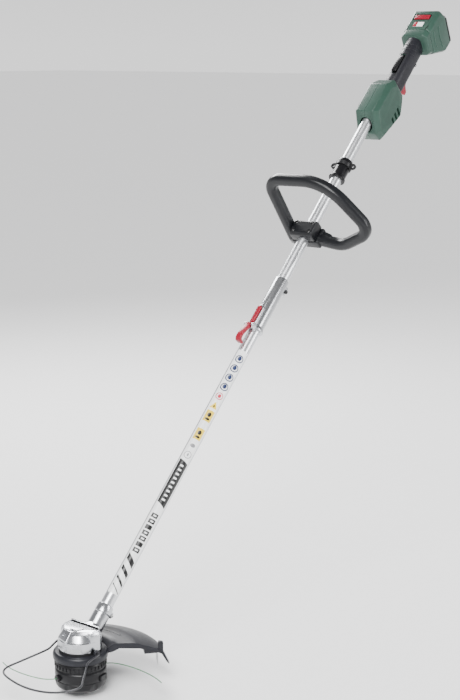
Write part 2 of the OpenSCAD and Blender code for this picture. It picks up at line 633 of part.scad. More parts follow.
module rear_shell() difference() {
    union() {
        difference() {
            rear_outer();
            rear_outer(shell_t);
        }
        for (p = boss_points) on_shaft() across(p)
            cylinder(r = boss_r, h = 2 * p[2], center = true);
        for (s = [1354, upper_end - 8]) on_shaft(s) {
            cylinder(r = tube_r + 3, h = 6);
            for (e = [-1, 1]) translate([-2, e * 21 - 9, 0]) cube([4, 18, 6]);
        }
    }
    on_shaft(1300) cylinder(r = tube_r, h = upper_end - 1300);
    for (p = boss_points) on_shaft() across(p) {
        translate([0, 0, -p[2]]) cylinder(r = 1.5, h = 2 * p[2] - 3);
        translate([0, 0, -60]) cylinder(r = 2.9, h = 65 - p[2]);
    }
    on_shaft() plate([[1462, -80], [1520, -80], [1520, -26], [1462, -26]], 15);
    on_shaft() plate([[1495, -8], [1553, -8], [1553, 20], [1495, 20]], 13);
    on_shaft() across(trigger_pivot) cylinder(r = 2, h = 2 * pin_half, center = true);
    on_shaft() across(lock_pivot) cylinder(r = 1.5, h = 2 * pin_half, center = true);
    in_pack() translate([15, -12, foot_t - 4]) cube([36, 24, 20]);
    on_shaft() for (e = [-1, 1], k = [0 : 2]) translate([0, e * 40, 0])
        plate([[1384 + 15 * k, -46], [1389 + 15 * k, -46], [1392 + 15 * k, -34], [1387 + 15 * k, -34]], 26);
}

module half_space(e) on_shaft(1500) translate([-200, e > 0 ? 0 : -200, -300]) cube([400, 200, 600]);

module rear_housing_left() color(green) intersection() {
    rear_shell();
    half_space(-1);
}

module rear_housing_right() color(green) intersection() {
    rear_shell();
    half_space(1);
}

module housing_screws() color(steel) for (p = boss_points) on_shaft() across(p)
    translate([0, 0, 5 - p[2]]) rotate([180, 0, 0]) screw(2.7, 1.8, 1.5, 2 * p[2] - 10);

// Rubber panels on both flanks of the grip.
module grip_panels() color(black) for (e = [-1, 1]) intersection() {
    on_shaft(grip_start + 20) linear_extrude(height = 122) difference() {
        translate([-grip_mid, 0]) stadium(grip_h + 0.4, grip_w + 2.4);
        grip_section(0);
    }
    difference() {
        on_shaft(grip_start) translate([-grip_mid, e * 16, 70])
            cube([grip_h - 10, 16, 200], center = true);
        for (p = boss_points) on_shaft() across(p) translate([0, 0, -60]) cylinder(r = 2.9, h = 56);
    }
}

module trigger() color(red) on_shaft() difference() {
    plate([[1465.5, -32], [1474, -31.5], [1516, -34], [1516, -44], [1506, -50], [1500, -60],
        [1493, -64], [1487, -62], [1482, -52], [1474, -44], [1465.5, -41]], 13);
    across(trigger_pivot) translate([0, 0, -20]) cylinder(r = 2 + slip, h = 40);
}
module trigger_pin() color(steel) on_shaft() across(trigger_pivot)
    cylinder(r = 2, h = 2 * pin_half, center = true);

module lock_off_lever() color(black) on_shaft() difference() {
    plate([[1499, 3.4], [1498, 8], [1506, 9.5], [1536, 7.5], [1552, 3], [1552, -6], [1545, -7],
        [1540, 0], [1512, 1]], 11);
    across(lock_pivot) translate([0, 0, -20]) cylinder(r = 1.5 + slip, h = 40);
}
module lock_off_pin() color(steel) on_shaft() across(lock_pivot)
    cylinder(r = 1.5, h = 2 * pin_half, center = true);

module switch_module() color(black) on_shaft() {
    plate([[1484, -22], [1514, -22], [1514, -8], [1484, -8]], 12);
    plate([[1496, -24], [1504, -24], [1504, -21.9], [1496, -21.9]], 6);
}

module control_board() color([0.1, 0.35, 0.2]) on_shaft() {
    plate([[1352, -31.6], [1436, -31.6], [1436, -30], [1352, -30]], 42);
    for (k = [0 : 2]) across([1366 + 20 * k, -24]) translate([0, 0, -12]) cylinder(r = 5.9, h = 24);
    plate([[1372, -42], [1402, -42], [1402, -31.5], [1372, -31.5]], 34);
}

module terminal_block() color(black) in_pack() {
    translate([12, -15, foot_t - 5]) cube([40, 30, 2.4]);
    translate([16, -11, foot_t - 3]) cube([34, 22, 5]);
    for (k = [-1.5 : 1.5]) translate([20, 5 * k - 0.5, foot_t + 1.9]) cube([22, 1, 6]);
}

// ================= battery =================
pack_z = foot_t + 0.4;
pack_base_z = 97;
pack_outline = [[pack_z, 6.4], [73.5, 26], [90, 19], [pack_base_z, 2], [pack_base_z, -66],
    [69, -75], [pack_z, -57.6]];
pack_side = [[pack_z, -2], [71, 17], [86, 12], [pack_base_z - 3, -2], [pack_base_z - 3, -62],
    [68, -70], [pack_z, -53]];
pack_w = 54;
pack_belly = 72;
release_s = 1671;
release_n = 6;
release_w = 40;
badge_s = 1648;
cell_r = 9.1;
// Cells in rows away from the foot: [row, height of the top cell, count]
cell_rows = [[43.8, -7, 3], [62.5, 2, 4], [81.2, -8, 3]];

module release_pocket(grow) on_shaft(release_s) translate([-release_n, 0, 0])
    cube([2 * (7 + grow), release_w + 5 + 2 * grow, 17 + 2 * grow], center = true);

module terminal_channel(grow) in_pack() translate([2 - grow, -14 - grow, pack_z - 1])
    cube([90, 28 + 2 * grow, 13 + grow]);

module battery_shell() color(green) difference() {
    in_pack() pack_hull(pack_outline, pack_side, pack_w, pack_belly);
    difference() {
        in_pack() pack_hull(pack_outline, pack_side, pack_w, pack_belly, shell_t);
        release_pocket(2);
        terminal_channel(2);
    }
    release_pocket(0);
    terminal_channel(0);
    in_pack() translate([3, -23, pack_base_z - 10]) cube([59, 46, 12]);
}

module battery_base() color([0.45, 0.46, 0.47]) in_pack() hull() {
    side([[pack_base_z, 0], [pack_base_z + 3, 4], [pack_base_z + 9, 0], [pack_base_z + 11, -8],
        [pack_base_z + 11, -60], [pack_base_z + 8, -66], [pack_base_z, -66]], 56);
    side([[pack_base_z, -4], [pack_base_z + 6, -6], [pack_base_z + 6, -60], [pack_base_z, -60]], 68);
}

module battery_cells() color(steel) for (row = cell_rows, k = [0 : row[2] - 1]) in_pack()
    across([row[0], row[1] - 19.2 * k]) cylinder(r = cell_r, h = 65, center = true);

module battery_button() color(red) on_shaft(release_s) difference() {
    translate([-release_n - 1.6, -release_w / 2, -6.5]) cube([5.6, release_w, 13]);
    for (k = [-2 : 2]) translate([-release_n - 2, -release_w / 2 + 4, 2.3 * k - 0.4])
        cube([1, release_w - 8, 0.8]);
}

module battery_button_spring() color(steel) on_shaft(release_s) for (e = [-1, 1])
    translate([-release_n + 6, 12 * e, 0]) rotate([0, 90, 0]) ring(3, 2.2, 0.9);

module battery_badge() color(silver) on_shaft(badge_s) translate([-release_n - 0.8, -13, -8])
    cube([0.8, 26, 14]);

motor_housing();
motor_base();
head_screws();
neck_screw();
motor_stator();
motor_rotor();
motor_shaft();
motor_bearings();
guard();
guard_screws();
line_cutter();
cutter_screws();
plant_guard();
spool_drum();
spool_cover();
line_reel();
wound_line();
knob_spring();
bump_knob();
line_eyelets();
cutting_line_a();
cutting_line_b();
drive_nut();
lower_tube();
motor_cable();
power_plug();
power_socket();
handle_cable();
upper_tube();
coupling_sleeve();
coupling_button();
button_spring();
coupling_lever();
lever_pin();
coupling_screw();
coupling_nut();
loop_handle();
handle_cap();
handle_screws();
strap_collar();
strap_hanger();
rear_housing_left();
rear_housing_right();
housing_screws();
grip_panels();
trigger();
trigger_pin();
lock_off_lever();
lock_off_pin();
switch_module();
control_board();
terminal_block();
battery_shell();
battery_base();
battery_cells();
battery_button();
battery_button_spring();
battery_badge();
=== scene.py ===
# String trimmer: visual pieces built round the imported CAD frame.
# Metres in Blender. Outlines below are in millimetres and pass through a place function.
import math

import bmesh
import bpy
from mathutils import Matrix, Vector


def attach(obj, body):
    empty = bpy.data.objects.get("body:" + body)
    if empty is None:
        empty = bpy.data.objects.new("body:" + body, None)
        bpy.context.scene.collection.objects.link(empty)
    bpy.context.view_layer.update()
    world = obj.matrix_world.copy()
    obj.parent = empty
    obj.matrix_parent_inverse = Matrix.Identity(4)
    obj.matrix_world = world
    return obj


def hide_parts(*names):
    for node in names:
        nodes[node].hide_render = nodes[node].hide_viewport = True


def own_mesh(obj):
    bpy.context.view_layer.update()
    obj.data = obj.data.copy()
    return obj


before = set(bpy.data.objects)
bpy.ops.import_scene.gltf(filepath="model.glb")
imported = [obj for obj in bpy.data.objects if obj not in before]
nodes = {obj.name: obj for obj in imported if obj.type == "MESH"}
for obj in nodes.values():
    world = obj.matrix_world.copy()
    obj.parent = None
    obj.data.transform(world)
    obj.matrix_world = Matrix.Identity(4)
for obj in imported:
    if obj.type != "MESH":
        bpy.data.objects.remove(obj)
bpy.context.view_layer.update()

MM = 0.001
Q = math.sqrt(0.5)

# ---------------------------------------------------------------- driving sizes, mm
SHAFT_Z = 74
TUBE_R, TUBE_IN = 12.7, 11.1
COUPLING_S, LOOP_S, COLLAR_S = 757, 1020, 1174
MOTOR_R, HOUSING_Z = 41, 88
RIM_R, RIM_Z, RIM_TOP = 52, 68, 83
GUARD_R, GUARD_HALF, SKIRT_Z = 155, math.radians(45), 44
CUTTER_R, CUTTER_TURN = 145.2, 40
SPOOL_R, SPOOL_TOP, SEAM_Z, OUTLET_Z = 48.5, 66.4, 30, 38
KNOB_R, KNOB_TRAVEL = 21, 5.6
EAR_X, EAR_Y, EAR_Z, EAR_HALF, WIRE_R, WIRE_SLOPE = -5, 47, 88, 6, 2, math.radians(17)
LOOP_BAR, LOOP_LEAN = 25, math.radians(15)
GRIP_START, GRIP_STOP, GRIP_MID, GRIP_W, GRIP_H = 1448, 1612, -20, 34, 46
SKIN_START, SKIN_STOP = 1466, 1608
FOOT_S, FOOT_N, FOOT_T, PACK_LEAN = 1612, 6, 18, math.radians(19.5)
BUTTON_S = COUPLING_S + 29


# ---------------------------------------------------------------- place functions
def head(x, y, z):
    return Vector((x, y, z)) * MM


def shaft(s, n, y):
    """s along the shaft from the spin axis, n up off the shaft, y across."""
    return Vector(((s - n) * Q, y, SHAFT_Z + (s + n) * Q)) * MM


def tube_at(s0):
    """Local x is up off the shaft, y across, z along it."""
    return lambda x, y, z: shaft(s0 + z, x, y)


def leaning(s0, n0, lean):
    """A plane across the shaft that leans: t through it, u up it, y across."""
    c, s = math.cos(lean), math.sin(lean)
    return lambda t, u, y: shaft(s0 + u * s + t * c, n0 + u * c - t * s, y)


def across(s0, n0):
    """Local z runs across the shaft, x along it and y up off it."""
    return lambda x, y, z: shaft(s0 + x, n0 + y, z)


def above(s0, n0, y0=0):
    """Local z points up off the shaft, x along it and y across."""
    return lambda x, y, z: shaft(s0 + x, n0 + z, y0 + y)


pack = leaning(FOOT_S, FOOT_N, PACK_LEAN)
loop = leaning(LOOP_S, 0, LOOP_LEAN)


# ---------------------------------------------------------------- materials
def node_set(name):
    mat = bpy.data.materials.new(name)
    mat.use_nodes = True
    tree = mat.node_tree
    return mat, tree, tree.nodes["Principled BSDF"]


def finish(name, color, rough, metal=0.0, tone=0.12, tone_scale=60, rough_vary=0.08,
           grain=900, bump=0.08, coat=0.0, stretch=(1, 1, 1), turn=0.0, edge_wear_and_highlight=0.0, speck=0.0, shine=0.5):
    """Moulded, painted or machined surface: tone and gloss vary, the grain stands in the bump."""
    mat, tree, shader = node_set(name)
    make, link = tree.nodes.new, tree.links.new
    coords = make("ShaderNodeTexCoord")
    mapping = make("ShaderNodeMapping")
    mapping.inputs["Scale"].default_value = stretch
    mapping.inputs["Rotation"].default_value = (0, turn, 0)
    link(coords.outputs["Object"], mapping.inputs["Vector"])

    tones = make("ShaderNodeTexNoise")
    tones.inputs["Scale"].default_value = tone_scale
    tones.inputs["Detail"].default_value = 5
    link(mapping.outputs["Vector"], tones.inputs["Vector"])
    ramp = make("ShaderNodeValToRGB")
    dark = [c * (1 - tone) for c in color]
    light = [min(1, c * (1 + tone)) for c in color]
    ramp.color_ramp.elements[0].position, ramp.color_ramp.elements[1].position = 0.3, 0.7
    ramp.color_ramp.elements[0].color = (*dark, 1)
    ramp.color_ramp.elements[1].color = (*light, 1)
    link(tones.outputs["Fac"], ramp.inputs["Fac"])
    colour = ramp.outputs["Color"]
    # Convex edges are lightened through pointiness: a painted highlight along the edges, together with some
    # edge wear.
    if edge_wear_and_highlight:
        geometry = make("ShaderNodeNewGeometry")
        edges = make("ShaderNodeMapRange")
        edges.inputs["From Min"].default_value, edges.inputs["From Max"].default_value = 0.5, 0.62
        edges.inputs["To Max"].default_value = edge_wear_and_highlight
        link(geometry.outputs["Pointiness"], edges.inputs["Value"])
        mix = make("ShaderNodeMix")
        mix.data_type = "RGBA"
        mix.inputs["B"].default_value = (*[min(1, c * 1.7 + 0.03) for c in color], 1)
        link(edges.outputs["Result"], mix.inputs["Factor"])
        link(colour, mix.inputs["A"])
        colour = mix.outputs["Result"]
    link(colour, shader.inputs["Base Color"])

    gloss = make("ShaderNodeMapRange")
    gloss.inputs["To Min"].default_value = max(0.02, rough - rough_vary)
    gloss.inputs["To Max"].default_value = min(1, rough + rough_vary)
    smudges = make("ShaderNodeTexNoise")
    smudges.inputs["Scale"].default_value = tone_scale * 3.1
    smudges.inputs["Detail"].default_value = 4
    link(mapping.outputs["Vector"], smudges.inputs["Vector"])
    link(smudges.outputs["Fac"], gloss.inputs["Value"])
    link(gloss.outputs["Result"], shader.inputs["Roughness"])

    fine = make("ShaderNodeTexVoronoi" if speck else "ShaderNodeTexNoise")
    fine.inputs["Scale"].default_value = grain
    link(mapping.outputs["Vector"], fine.inputs["Vector"])
    relief = make("ShaderNodeBump")
    relief.inputs["Strength"].default_value = bump
    relief.inputs["Distance"].default_value = 0.0002
    link(fine.outputs["Distance" if speck else "Fac"], relief.inputs["Height"])
    link(relief.outputs["Normal"], shader.inputs["Normal"])
    shader.inputs["Metallic"].default_value = metal
    shader.inputs["Specular IOR Level"].default_value = shine
    shader.inputs["Coat Weight"].default_value = coat
    shader.inputs["Coat Roughness"].default_value = 0.15
    return mat


silver = finish("silver_housing", (0.5, 0.51, 0.53), 0.24, metal=1.0, tone=0.03, bump=0.05)
bright = finish("bright_tube", (0.62, 0.63, 0.65), 0.3, metal=0.9, tone=0.03, tone_scale=25,
                grain=500, bump=0.03, stretch=(1, 1, 0.08), turn=-math.radians(45))
sleeve_metal = finish("cast_sleeve", (0.54, 0.55, 0.57), 0.24, metal=1.0, tone=0.03, bump=0.04)
zinc = finish("zinc_steel", (0.6, 0.6, 0.6), 0.32, metal=1.0, tone=0.1, grain=1500)
blade_steel = finish("blade_steel", (0.62, 0.62, 0.63), 0.28, metal=1.0, stretch=(1, 1, 0.1), bump=0.15)
black = finish("black_moulding", (0.005, 0.005, 0.006), 0.34, tone=0.15, bump=0.03, edge_wear_and_highlight=0.3, shine=0.24)
satin_black = finish("satin_black", (0.004, 0.004, 0.005), 0.3, tone=0.12, bump=0.02, shine=0.24)
guard_dark = finish("guard_moulding", (0.009, 0.0095, 0.013), 0.36, tone=0.12, bump=0.03, edge_wear_and_highlight=0.3,
                    shine=0.26)
bar_dark = finish("loop_moulding", (0.006, 0.0065, 0.008), 0.3, tone=0.1, rough_vary=0.03, bump=0.012,
                  shine=0.3)
rubber = finish("grip_rubber", (0.006, 0.006, 0.009), 0.42, tone=0.2, grain=1300, bump=0.3, speck=1, edge_wear_and_highlight=0.3,
                shine=0.26)
green = finish("green_moulding", (0.017, 0.046, 0.033), 0.32, tone=0.08, bump=0.12, speck=1,
               edge_wear_and_highlight=0.6, shine=0.3)
# Darker green for the sheets set in the vents and the button pocket, painted shade; the cutters carry it too.
painted_shade_green = finish("green_painted_shade", (0.003, 0.008, 0.006), 0.5, tone=0.1, bump=0.1, speck=1)
red = finish("red_moulding", (0.24, 0.004, 0.018), 0.26, tone=0.08, bump=0.06, edge_wear_and_highlight=0.3, shine=0.35)
grey = finish("grey_moulding", (0.1, 0.105, 0.105), 0.45, tone=0.08, bump=0.12, speck=1)
white_badge = finish("badge_white", (0.82, 0.83, 0.83), 0.3, tone=0.03, bump=0.03)
wire_paint = finish("painted_wire", (0.03, 0.03, 0.034), 0.34, metal=0.3, tone=0.05, rough_vary=0.02,
                    bump=0.01)
nylon = finish("nylon_line", (0.06, 0.2, 0.09), 0.35, tone=0.15, grain=700, bump=0.15, coat=0.2)
copper = finish("winding_copper", (0.55, 0.24, 0.1), 0.35, metal=1.0, tone=0.2)
board = finish("board_green", (0.03, 0.16, 0.08), 0.4, tone=0.2)
# Black for print, and also for the pieces of painted shade in the gaps and openings of the housing.
print_and_shade_black = finish("black_print_and_shade", (0.004, 0.004, 0.0045), 0.35, tone=0.1, bump=0.03)
ink_grey = finish("print_grey", (0.2, 0.2, 0.21), 0.35, tone=0.1, bump=0.03)
ink_yellow = finish("print_yellow", (0.75, 0.53, 0.02), 0.35, tone=0.08, bump=0.03)
ink_blue = finish("print_blue", (0.008, 0.018, 0.07), 0.35, tone=0.08, bump=0.03)
ink_red = finish("print_red", (0.5, 0.02, 0.05), 0.35, tone=0.08, bump=0.03)


# ---------------------------------------------------------------- mesh helpers
def build(name, verts, faces, material, smooth=35):
    mesh = bpy.data.meshes.new(name)
    mesh.from_pydata([tuple(v) for v in verts], [], faces)
    bm = bmesh.new()
    bm.from_mesh(mesh)
    bmesh.ops.remove_doubles(bm, verts=bm.verts, dist=1e-6)
    bmesh.ops.recalc_face_normals(bm, faces=bm.faces)
    bm.to_mesh(mesh)
    bm.free()
    ob = bpy.data.objects.new(name, mesh)
    bpy.context.scene.collection.objects.link(ob)
    mesh.materials.append(material)
    shade(ob, smooth)
    return ob


def shade(ob, angle=35):
    """Smooth shading, with edges sharper than angle kept crisp."""
    bm = bmesh.new()
    bm.from_mesh(ob.data)
    limit = math.radians(angle)
    for face in bm.faces:
        face.smooth = True
    for edge in bm.edges:
        edge.smooth = len(edge.link_faces) == 2 and edge.calc_face_angle(0) < limit
    bm.to_mesh(ob.data)
    bm.free()


def bake(ob, angle=35):
    """Applies the modifiers."""
    graph = bpy.context.evaluated_depsgraph_get()
    mesh = bpy.data.meshes.new_from_object(ob.evaluated_get(graph))
    ob.modifiers.clear()
    ob.data = mesh
    shade(ob, angle)
    return ob


def bevel(ob, width, segments=3, angle=30, smooth=35):
    mod = ob.modifiers.new("bevel", "BEVEL")
    mod.width, mod.segments = width * MM, segments
    mod.limit_method, mod.angle_limit = "ANGLE", math.radians(angle)
    return bake(ob, smooth)


def join(parts):
    """Puts the meshes of all parts into the first."""
    bm = bmesh.new()
    for part in parts:
        bm.from_mesh(part.data)
    bm.to_mesh(parts[0].data)
    bm.free()
    for part in parts[1:]:
        bpy.data.objects.remove(part)
    return parts[0]


def carve(ob, cutters, angle=35, solver="MANIFOLD"):
    """Cuts the cutters out of ob."""
    tool = join(cutters)
    mod = ob.modifiers.new("cut", "BOOLEAN")
    mod.operation, mod.solver, mod.object = "DIFFERENCE", solver, tool
    bake(ob, angle)
    bpy.data.objects.remove(tool)
    return ob


def done(ob, body, *replaced, slot=None):
    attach(ob, body)
    if replaced:
        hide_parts(*replaced)
    return ob


def revolved(name, profile, place, material, steps=96, start=0.0, sweep=math.tau, smooth=35):
    """Turns [radius, height] points round local z."""
    full = abs(sweep - math.tau) < 1e-6
    columns = steps if full else steps + 1
    verts, faces = [], []
    for i in range(columns):
        a = start + sweep * i / steps
        verts += [place(r * math.cos(a), r * math.sin(a), z) for r, z in profile]
    m = len(profile)
    for i in range(steps):
        j = (i + 1) % columns
        faces += [(i * m + k, j * m + k, j * m + (k + 1) % m, i * m + (k + 1) % m) for k in range(m)]
    if not full:
        faces += [tuple(range(m)), tuple(steps * m + k for k in range(m))]
    return build(name, verts, faces, material, smooth)


def prism(name, outline, low, high, place, material, smooth=35):
    """Outline in local x, y, from low to high along local z."""
    m = len(outline)
    verts = [place(x, y, z) for z in (low, high) for x, y in outline]
    faces = [tuple(range(m)), tuple(range(m, 2 * m))]
    faces += [(k, (k + 1) % m, m + (k + 1) % m, m + k) for k in range(m)]
    return build(name, verts, faces, material, smooth)


def cuboid(name, low, high, place, material):
    xy = [(low[0], low[1]), (high[0], low[1]), (high[0], high[1]), (low[0], high[1])]
    return prism(name, xy, low[2], high[2], place, material)


def rod(name, radius, low, high, place, material, steps=32):
    profile = [(radius * math.cos(math.tau * k / steps), radius * math.sin(math.tau * k / steps))
               for k in range(steps)]
    return prism(name, profile, low, high, place, material)


def wrapped(name, points, material):
    """Convex skin round placed points."""
    mesh = bpy.data.meshes.new(name)
    bm = bmesh.new()
    for point in points:
        bm.verts.new(point)
    bmesh.ops.convex_hull(bm, input=bm.verts)
    bmesh.ops.dissolve_limit(bm, angle_limit=math.radians(1), verts=bm.verts, edges=bm.edges)
    bmesh.ops.recalc_face_normals(bm, faces=bm.faces)
    bm.to_mesh(mesh)
    bm.free()
    ob = bpy.data.objects.new(name, mesh)
    bpy.context.scene.collection.objects.link(ob)
    mesh.materials.append(material)
    shade(ob)
    return ob


def arc(cx, cy, r, start, stop, n=8):
    """Points of an arc, angles in degrees."""
    return [(cx + r * math.cos(math.radians(start + (stop - start) * k / n)),
             cy + r * math.sin(math.radians(start + (stop - start) * k / n))) for k in range(n + 1)]


def stadium(length, width, n=10):
    half = (length - width) / 2
    return arc(half, 0, width / 2, -90, 90, n) + arc(-half, 0, width / 2, 90, 270, n)


def round_box(width, height, r, n=5):
    x, y = width / 2 - r, height / 2 - r
    return arc(x, y, r, 0, 90, n) + arc(-x, y, r, 90, 180, n) + arc(-x, -y, r, 180, 270, n) + arc(
        x, -y, r, 270, 360, n)


def curve_through(points, steps):
    """Catmull-Rom curve through the points."""
    out = []
    last = len(points) - 1
    for i in range(last):
        a, b = points[max(0, i - 1)], points[i]
        c, d = points[i + 1], points[min(last, i + 2)]
        for k in range(steps):
            t = k / steps
            out.append(0.5 * (2 * b + (c - a) * t + (2 * a - 5 * b + 4 * c - d) * t * t
                              + (3 * b - a - 3 * c + d) * t ** 3))
    return out + [points[last]]


def swept(name, path, section, up, material, smooth=40):
    """Sweeps a section (m) along placed points; up(i) gives the section's second axis."""
    verts, faces = [], []
    last = len(path) - 1
    for i, point in enumerate(path):
        along = (path[min(last, i + 1)] - path[max(0, i - 1)]).normalized()
        second = up(i)
        second = (second - along * second.dot(along)).normalized()
        first = second.cross(along)
        shape = section(i) if callable(section) else section
        verts += [point + first * a * MM + second * b * MM for a, b in shape]
    m = len(verts) // len(path)
    for i in range(last):
        faces += [(i * m + k, i * m + (k + 1) % m, (i + 1) * m + (k + 1) % m, (i + 1) * m + k)
                  for k in range(m)]
    faces += [tuple(range(m)), tuple(last * m + k for k in range(m))]
    return build(name, verts, faces, material, smooth)


def screw(name, radius, height, place, material, socket="cross"):
    """A domed screw head with a driving recess, standing on local z = 0."""
    dome = [(0, 0), (radius, 0), (radius, height * 0.45)] + [
        (radius * math.cos(math.radians(a)), height * (0.45 + 0.55 * math.sin(math.radians(a))))
        for a in (20, 40, 60, 75)] + [(0, height)]
    ob = revolved(name, dome, place, material, 32)
    r, depth = radius * 0.52, height * 0.45
    if socket == "hex":
        tools = [rod(name + "_key", r, depth, height * 2, place, material, 6)]
    else:
        w = radius * 0.14
        tools = [cuboid(name + "_x", (-r, -w, depth), (r, w, height * 2), place, material)]
        ob = carve(ob, tools)
        tools = [cuboid(name + "_y", (-w, -r, depth), (w, r, height * 2), place, material)]
    return carve(ob, tools)


# ---------------------------------------------------------------- camera
FOCAL = 1450 * 36 / 700
AZIMUTH, ELEVATION = math.radians(-51.6), math.radians(11.7)
camera_data = bpy.data.cameras.new("camera")
camera_data.sensor_width = 36
camera_data.lens = FOCAL
camera = bpy.data.objects.new("camera", camera_data)
bpy.context.scene.collection.objects.link(camera)
back = Vector((math.sin(AZIMUTH) * math.cos(ELEVATION), -math.cos(AZIMUTH) * math.cos(ELEVATION),
               math.sin(ELEVATION)))
camera.location = (-1.8275, -1.8074, 1.185)
camera.rotation_mode = "QUATERNION"
camera.rotation_quaternion = (-back).to_track_quat("-Z", "Y")
bpy.context.scene.camera = camera

# ---------------------------------------------------------------- cutting lines
LINE_D = 0.002
LINE_ROUTE = [
    (-43, 9.1, 38), (-48, 10.2, 38), (-54, 12, 38), (-60, 16.4, 37.8), (-65, 23, 37.6), (-69, 32,
    37.4), (-71.6, 42, 37.2), (-73.4, 54, 37), (-74.4, 67, 36.7), (-74.6, 80, 36.4), (-74, 93,
    36.1), (-72.6, 106, 35.8), (-70.2, 119, 35.5), (-67, 131, 35.3), (-63, 142, 35.1), (-60, 149,
    35)]


def cutting_line(name, side):
    curve = bpy.data.curves.new(name, "CURVE")
    curve.dimensions = "3D"
    curve.bevel_depth = LINE_D / 2
    curve.bevel_resolution = 4
    curve.use_fill_caps = True
    points = [head(side * x, side * y, z) for x, y, z in LINE_ROUTE]
    spline = curve.splines.new("POLY")
    spline.points.add(len(points) - 1)
    for target, point in zip(spline.points, points):
        target.co = (*point, 1)
    curve.materials.append(nylon)
    ob = bpy.data.objects.new(name, curve)
    bpy.context.scene.collection.objects.link(ob)
    done(ob, "spool", slot="line_nylon")
    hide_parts("cutting_line_a" if side > 0 else "cutting_line_b")
    return ob


cutting_line("trim_line_a", 1)
cutting_line("trim_line_b", -1)


# ================================================================ motor head
CHEEK = [(-11.3, 39.2), (9.8, 42.2), (15, 38), (15, 20), (-11, 20)]
ROOF_Z = 126.6


def turned(degrees, x, y, z):
    a = math.radians(degrees)
    return head(x * math.cos(a) - y * math.sin(a), x * math.sin(a) + y * math.cos(a), z)


def pillar_face(x, y, z):
    """Local z points out of the sloped face of the pillar beside the drum."""
    a = math.radians(40)
    return turned(164, 33.4 + z * math.cos(a) - y * math.sin(a), x, 117.4 + z * math.sin(a) + y * math.cos(a))


def roof_eye(x, y, z):
    """Local z points up out of the oval hole in the roof."""
    return head(9 + x, -29 + y * 1.4, ROOF_Z + z)


def motor_housing():
    r = MOTOR_R - 0.3
    drum = revolved("housing", [(0, HOUSING_Z), (r - 0.5, HOUSING_Z), (r, HOUSING_Z + 0.6), (r, 106.6),
                                (r - 1.2, 107.8), (r - 2.2, 108), (r - 3, 109.6), (r - 10, 119.6),
                                (0, 119.6)], head, silver, 128)
    parts = [drum]
    for side in (-1, 1):
        cheek = wrapped("cheek", [head(x, side * y, HOUSING_Z) for x, y in CHEEK]
                        + [head(x, side * y, 118) for x, y in CHEEK]
                        + [head(x * 0.9, side * y * 0.93, 124) for x, y in CHEEK], silver)
        parts.append(bevel(cheek, 1.1, 3))
    pillar = wrapped("pillar", [head(x, y, z) for x, y, z in (
        (-42.2, -3, HOUSING_Z), (-33.4, 26.3, HOUSING_Z), (-18, 32, HOUSING_Z), (-18, -8, HOUSING_Z),
        (-41.4, -3, 110), (-32.8, 26, 110), (-27, -3, 125), (-23, 20, 125), (-14, 30, 121), (-14, -8, 125))],
        silver)
    parts.append(bevel(pillar, 1.1, 3))
    roof = wrapped("roof", [head(x, y, z) for x, y, z in (
        (-19, -12, ROOF_Z - 1.6), (-20, 21, ROOF_Z - 1.6), (-5, 37, ROOF_Z), (14, 37.6, ROOF_Z),
        (16, 20, ROOF_Z), (16, -20, ROOF_Z), (14, -37.6, ROOF_Z), (-3, -36.6, ROOF_Z),
        (-24, -15, 117), (-26, 22, 117), (-8, 39.4, 118), (15, 40.4, 118), (17, 20, 118), (17, -20, 118),
        (15, -40.4, 118), (-6, -39.4, 118), (-20, -15, 107), (-20, 22, 107), (15, 34, 107), (15, -34, 107))],
        silver)
    bevel(roof, 1.2, 3)
    comb = [cuboid("comb", (11.4, -36, ROOF_Z - 3), (14.4, 36.5, ROOF_Z + 3), head, silver)]
    comb += [cuboid("comb", (8.6, k * 5 - 1.3, ROOF_Z - 3.2), (14, k * 5 + 1.3, ROOF_Z + 3.2), head, silver)
             for k in range(-7, 8)]
    for tool in comb:
        carve(roof, [tool], 30)
    score = swept("score", [head(-17.5, 8, ROOF_Z - 0.6), head(-16.5, -7.5, ROOF_Z - 0.6),
                            head(3, -16.5, ROOF_Z), head(9, -39, ROOF_Z)],
                  [(-0.5, -1), (0.5, -1), (0.5, 1), (-0.5, 1)], lambda i: Vector((0, 0, 1)), silver)
    carve(roof, [score], 30)
    carve(roof, [rod("eye", 3, -4, 6, roof_eye, silver, 24)], 30)
    parts.append(roof)
    neck = tube_at(0)
    parts.append(revolved("neck", [(0, 40), (16.3, 40), (16.3, 83.2), (15.8, 83.8), (0, 83.8)], neck, silver))
    saddle = wrapped("saddle", [head(a, b, z) for a, b in ((6, 20), (17, 22)) for z in (106, 122)]
                     + [head(a, -b, z) for a, b in ((6, 20), (17, 22)) for z in (106, 122)]
                     + [neck(15.6 * math.cos(t * 0.2618), 15.6 * math.sin(t * 0.2618), z)
                        for t in range(24) for z in (52, 60)], silver)
    parts.append(saddle)
    carve(pillar, [rod("recess", 4.3, -7, 6, pillar_face, silver, 28)], 30)
    body = join(parts)
    return done(body, "lower_shaft", "motor_housing", slot="housing_silver")


def neck_clamp():
    """Split collar where the tube enters the motor housing, with its screw lug."""
    collar = revolved("neck_collar", [(TUBE_R, 85), (15.4, 85), (16.2, 85.8), (16.4, 88), (15.8, 100.8),
                                      (15, 102), (TUBE_R, 102)], tube_at(0), silver)
    done(collar, "lower_shaft", slot="housing_silver")
    lugs = [cuboid("neck_lug", (-24, low, 86.5), (-13.4, high, 98.5), tube_at(0), silver)
            for low, high in ((-6.8, -0.9), (0.9, 6.8))]
    lug = bevel(join(lugs), 1.8, 4)
    carve(lug, [rod("lug_hole", 2.1, -20, 20, lambda x, y, z: shaft(92 + x, -20.5 + y, z), silver)])
    done(lug, "lower_shaft", slot="housing_silver")
    head_at = lambda x, y, z: shaft(92 + x, -20.5 + y, -6.8 - z)
    done(screw("neck_screw_head", 3.4, 3, head_at, zinc, "hex"), "lower_shaft", slot="steel")


def pillar_screw():
    place = lambda x, y, z: pillar_face(x, y, z - 4)
    done(screw("pillar_screw", 3.3, 2.4, place, zinc), "lower_shaft", slot="steel")


